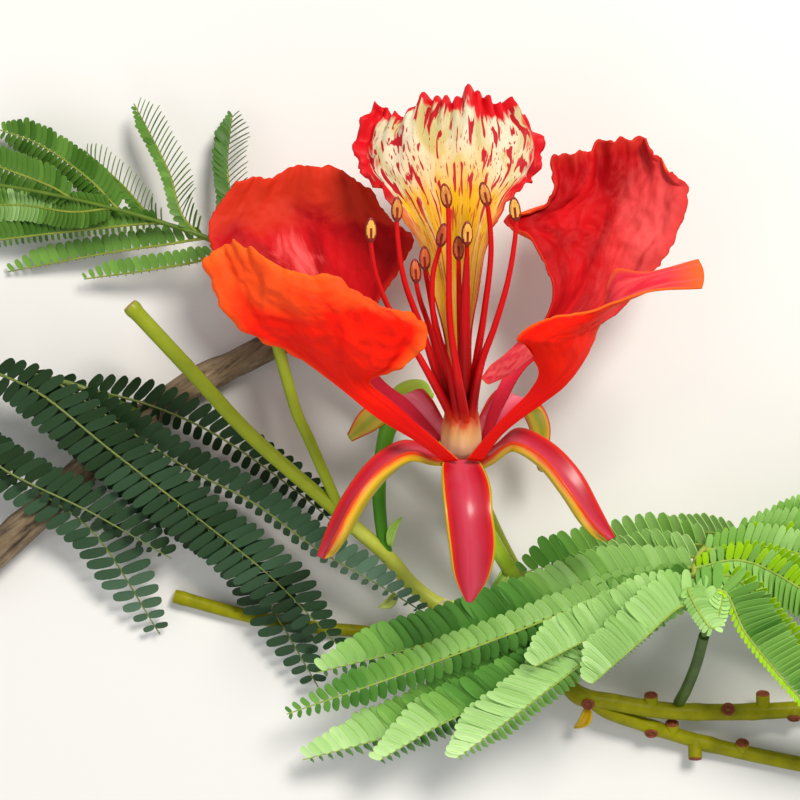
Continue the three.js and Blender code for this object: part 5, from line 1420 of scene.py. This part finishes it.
class SPRIG_OT_stamens(bpy.types.Operator):
    """Model the ten stamens, the pistil and the pale column and green cup under them"""

    bl_idname = "sprig.stamens"
    bl_label = "Stamens, pistil, column and cup"

    def execute(self, context):
        colours = context.scene.sprig_colours
        red = colours.filament
        centre, axis = np.array(BLOOM_CENTRE), BLOOM_AXIS
        filament = by_place_finish("filament", centre + axis * 4.5, centre + axis * 20,
                                   ((0.0, "e6b078"), (0.12, "dc7a3c"), (0.22, "cc3410"), (0.42, red),
                                    (0.8, red), (1.0, "c4080c")), mottle=0.1, shine=0.16)
        sacs = {look: skin_finish(f"anther_{look}_sac", low, high, scale=700, roughness=0.55)
                for look, low, high in (("golden", "c8862c", "e0b050"), ("amber", "b4642a", "cf8c3c"),
                                        ("red", colours.anther, "cc6a34"))}
        groove = skin_finish("anther_rim", "6a1410", "8c2614", scale=700, roughness=0.45)
        for number, path in enumerate(STAMENS, 1):
            name = f"filament_{number:02d}"
            root = np.array(path[0]) - axis * 2.6 + (centre + axis * 7 - np.array(path[0])) * 0.05
            thread = tube(name, (tuple(root), *path), FILAMENT_RADII, 12)
            use(thread, filament)
            toward = np.subtract(path[-1], path[-2]) * (1, 1, 0.4)
            look = "golden" if number in GOLDEN_ANTHERS else "amber" if number in AMBER_ANTHERS else "red"
            tip = anther_of(f"anther_{number:02d}", path[-1], toward, sacs[look], groove, number)
            finish_piece(join(name, [thread, tip]), (f"stamen_{number:02d}",))
        style = tube("pistil_style", PISTIL, PISTIL_RADII, 16)
        use(style, by_place_finish("pistil", centre + axis * 6, centre + axis * 30,
                                   ((0.0, "c0583a"), (0.2, "8a0408"), (0.7, "9a0408"), (1.0, "b0060c")),
                                   shine=0.16))
        finish_piece(style, ("pistil",))
        column = turned("pale_column", COLUMN_TURNING, 10, 0.06)
        use(column, by_place_finish("pale_column", centre, centre + axis * COLUMN_TURNING[-1][1],
                                    ((0.0, "d8a888"), (0.18, "dcb48c"), (0.45, "dcac70"), (0.66, "d48a50"),
                                     (0.8, "cc4a20"), (1.0, "a81408")),
                                    coat=0.1, mottle=0.55, scale=900, shine=0.3, fibres=(BLOOM_TILT, 0.12)))
        finish_piece(column, ("pale_column",), 50)
        cup = turned("green_cup", CUP_TURNING, 5, 0.03)
        low, high = (centre + axis * CUP_TURNING[end][1] for end in (0, -1))
        use(cup, by_place_finish("green_cup", low, high,
                                 ((0.0, "7fa02a"), (0.4, "95a22a"), (0.62, "b0501c"), (0.8, "b4141c")),
                                 coat=0.1, shine=0.25))
        finish_piece(cup, ("flower_cup",), 50)
        return {"FINISHED"}


class SPRIG_OT_stalks(bpy.types.Operator):
    """Model the twig, the scarred axes, the stalks and their small bracts"""

    bl_idname = "sprig.stalks"
    bl_label = "Twig, axes and stalks"

    def execute(self, context):
        colours = context.scene.sprig_colours
        green = skin_finish("stalk_skin", dimmed(colours.stalk, 0.8), colours.stalk, 220)
        fresh = skin_finish("fresh_stalk_skin", "7fa01c", "a6c232", 220)
        dark = skin_finish("shaded_stalk_skin", "2c4414", "44601c", 220, coat=0.0)
        lit = skin_finish("sunlit_stalk_skin", "b4be3a", "cdd356", 220)
        olive = skin_finish("mustard_stalk_skin", "6c6b02", "908e02", 220, coat=0.0, shine=0.12)
        bud_path = STEMS["green_pedicel"]["path"]
        deep = by_place_finish("deep_green_skin", bud_path[2], bud_path[-1],
                               ((0.0, "3f7a0c"), (0.6, "5c9a1e"), (0.95, "a4cc3c")), shine=0.25)
        pale = skin_finish("pale_scar", "c9b98c", "dccfa6", 900, 0.7, coat=0.0)
        cut = skin_finish("cut_end", "b7a45c", "8d7a3a", 900, 0.8, coat=0.0)
        scar = skin_finish("scar", "64301a", "8e4c2e", 900, 0.75, coat=0.0)
        looks = {"raceme_axis": olive, "lower_axis": olive, "lower_bare_pedicel": olive,
                 "green_pedicel": deep, "bloom_pedicel": fresh, "right_leaf_stalk": dark,
                 "left_leaf_stalk": dark, "upper_leaf_stalk": fresh, "side_axis": lit}
        for name, stem in STEMS.items():
            if name == "woody_twig":
                continue
            skin = looks.get(name, green)
            path = (*stem["path"], BUD_TIP) if name == "green_pedicel" else stem["path"]
            parts = [tube(f"{name}_skin", path, stem["radii"], 24, 110, SWELLINGS.get(name, ()))]
            use(parts[0], skin)
            for foot, top in SCARS.get(name, ()):
                # A scar that doesn't face up stands on a shorter nub
                nub = SIDEWAYS_SCAR if top[2] < foot[2] + 1 else 1.0
                top = np.array(foot) + (np.array(top) - np.array(foot)) * nub
                parts.append(self.scar(foot, top, (skin, scar)))
            if name == "side_axis":
                here, _, _ = evenly(stem["path"], [SWELLINGS[name][0][0]])
                knob = np.array(KNOB)
                parts.append(self.scar(here[0] * 0.5 + knob * 0.5, knob, (lit, pale), KNOB_RADIUS))
            finish_piece(join(f"{name}_skin", parts), (name,), 60)
        leafy = {look: skin_finish(f"bract_{look}", low, high)
                 for look, low, high in (("green", "7fa83c", "a9c860"), ("pale", "b3bf5a", "cfd67c"),
                                         ("golden", "b48c0c", "ccae1c"))}
        for number, (look, foot, tip, width) in enumerate(BRACTS, 1):
            finish_piece(bract(f"bract_{number}", foot, tip, width, leafy[look]))
        self.twig(colours.bark)
        for name, end in CUT_ENDS:
            stem = STEMS[name]
            here, ahead, _ = evenly(stem["path"], [float(end)])
            way = ahead[0] if end else -ahead[0]
            radius = stem["radii"][end] * CUT_FACE / MM
            width, depth = CUT_INSET
            made = stub(f"{name}_cut", here[0] + way * CUT_LIFT, way, (radius, CUT_THICKNESS), 24,
                        ((radius * width, depth),), (cut,))
            finish_piece(made, (), 40)
        return {"FINISHED"}

    def scar(self, foot, top, looks, radius=SCAR_RADIUS):
        """A round scar on its low nub: a raised ring about a sunken middle."""
        foot = np.asarray(foot)
        way = top - foot
        size = (radius, float(np.linalg.norm(way)) / MM)
        return stub("scar", (foot + top) / 2, way, size, 22, SCAR_INSETS, looks)

    def twig(self, bark_colour):
        """The woody twig, its bark furrowed along its length."""
        stem = STEMS["woody_twig"]
        piece = tube("woody_twig_bark", stem["path"], stem["radii"], 40, 260)
        places = local_places(piece)
        normals = np.array([vertex.normal for vertex in piece.data.vertices])
        cosine, sine = TWIG_HEADING
        turn = np.array(((cosine, -sine, 0), (sine, cosine, 0), (0, 0, 1)))
        lengthwise = places @ turn * MM
        set_places(piece, places + normals * creases(lengthwise, BARK_RELIEF)[:, None])
        use(piece, bark_finish(bark_colour))
        finish_piece(piece, ("woody_twig",))


class SPRIG_OT_leaves(bpy.types.Operator):
    """Model the three twice-divided leaves"""

    bl_idname = "sprig.leaves"
    bl_label = "Leaves"

    def execute(self, context):
        colours = context.scene.sprig_colours
        bright = self.greens("sunlit", (0.0, "2c5a20"), (0.28, "528a34"), (0.5, colours.sunlit_leaf),
                             (0.75, "a8d27c"), (1.0, "cff0a6"))
        dark = self.greens("shaded", (0.0, "1a2c18"), (0.3, colours.shaded_leaf), (0.6, "345036"),
                           (1.0, "66846c"))
        middle = self.greens("far", (0.0, "2a4a14"), (0.4, "40691f"), (0.7, "6f9a40"), (1.0, "b4d890"))
        glowing = leaflet_finish("leaflet_glowing", "9ccc18")
        # Painted light and shade: the right leaf's ribs are a sunlit copy, the left leaf's a shaded copy of
        # one rib green
        rib_sunlit = skin_finish("rib_sunlit", "7f9c38", "a2b850")
        rib_shaded = skin_finish("rib_shaded", "55662c", "74803a")
        rib_far = skin_finish("rib_far", "6f7f28", "8f9a38")
        rachis_far = skin_finish("rachis_far", "48621a", "5e7a22")
        foot = LEAVES["right_leaf"]["rachis"]
        # Painted shade: the right leaf's rachis is dark at its shaded foot and lighter toward the sunlit
        # part
        rachis_shade_to_sunlit = by_place_finish("rachis_shade_to_sunlit", foot[0], foot[2],
                                       ((0.0, "44601c"), (0.35, "5c7420"), (0.8, "98a444")), shine=0.2)
        for name, greens, glow, rachis, rib, seed, slot in (
            ("right_leaf", bright, [glowing], rachis_shade_to_sunlit, rib_sunlit, 31, "leaf"),
            ("left_leaf", dark, [], rib_shaded, rib_shaded, 32, "shaded_leaf"),
            ("upper_left_leaf", middle, [], rachis_far, rib_far, 33, "leaf"),
        ):
            finish_piece(ribs_of(name, rachis, rib), (name,))
            finish_piece(leaflets_of(name, seed, greens, glow), (), 40)
        return {"FINISHED"}

    def greens(self, name, *stops, count=11):
        """Plain leaf greens from dark to light, evenly spaced between the stops."""
        where = [at for at, _ in stops]
        channels = np.array([linear(colour) for _, colour in stops]).T
        shades = [tuple(float(np.interp(at, where, channel)) for channel in channels)
                  for at in np.linspace(0, 1, count)]
        return [leaflet_finish(f"leaflet_{name}_{number}", shade) for number, shade in enumerate(shades)]


class SPRIG_OT_stage(bpy.types.Operator):
    """Set the table, the lights and the camera"""

    bl_idname = "sprig.stage"
    bl_label = "Stage"

    def execute(self, context):
        scene = context.scene
        floor = primitive("table", bpy.ops.mesh.primitive_plane_add, size=TABLE_WIDTH,
                          location=(0, 0, -FLOOR_GAP))
        pale = Finish("table", 0.75)
        pale.colour(TABLE_COLOUR)
        use(floor, pale.material)
        world = bpy.data.worlds.new("studio")
        scene.world = world
        world.use_nodes = True
        background = world.node_tree.nodes["Background"]
        background.inputs["Color"].default_value = (*SKY_COLOUR, 1)
        background.inputs["Strength"].default_value = SKY_STRENGTH
        for name, place, size, power, colour in LIGHTS:
            light = primitive(f"{name}_light", bpy.ops.object.light_add, type="AREA", location=place)
            light.data.shape = "DISK"
            light.data.size = size
            light.data.energy = power
            light.data.color = colour
            light.rotation_mode = "QUATERNION"
            light.rotation_quaternion = (Vector(LIT_POINT) - Vector(place)).to_track_quat("-Z", "Y")
        lens = SHIFT / MM + (0, 0, scene.sprig_sizes.camera_height)
        camera = primitive("camera", bpy.ops.object.camera_add, location=tuple(lens))
        camera.data.lens = LENS
        camera.data.clip_start = NEAREST
        scene.camera = camera
        scene.view_settings.view_transform = "Standard"
        return {"FINISHED"}


class SPRIG_PT_panel(bpy.types.Panel):
    """The sprig's steps, colours and sizes"""

    bl_idname = "SPRIG_PT_panel"
    bl_label = "Royal poinciana sprig"
    bl_space_type = "VIEW_3D"
    bl_region_type = "UI"
    bl_category = "Sprig"

    def draw(self, context):
        for step in STEPS:
            self.layout.operator(step.bl_idname)
        for group in (context.scene.sprig_colours, context.scene.sprig_sizes):
            for key in group.__annotations__:
                self.layout.prop(group, key)


STEPS = (SPRIG_OT_petals, SPRIG_OT_sepals, SPRIG_OT_stamens, SPRIG_OT_stalks, SPRIG_OT_leaves,
         SPRIG_OT_stage)
CLASSES = (SprigColours, SprigSizes, *STEPS, SPRIG_PT_panel)


def register():
    for cls in CLASSES:
        bpy.utils.register_class(cls)
    bpy.types.Scene.sprig_colours = bpy.props.PointerProperty(type=SprigColours)
    bpy.types.Scene.sprig_sizes = bpy.props.PointerProperty(type=SprigSizes)


def unregister():
    del bpy.types.Scene.sprig_sizes
    del bpy.types.Scene.sprig_colours
    for cls in reversed(CLASSES):
        bpy.utils.unregister_class(cls)


def main():
    register()
    bpy.ops.sprig.petals()
    bpy.ops.sprig.sepals()
    bpy.ops.sprig.stamens()
    bpy.ops.sprig.stalks()
    bpy.ops.sprig.leaves()
    bpy.ops.sprig.stage()


if __name__ == "__main__":
    main()
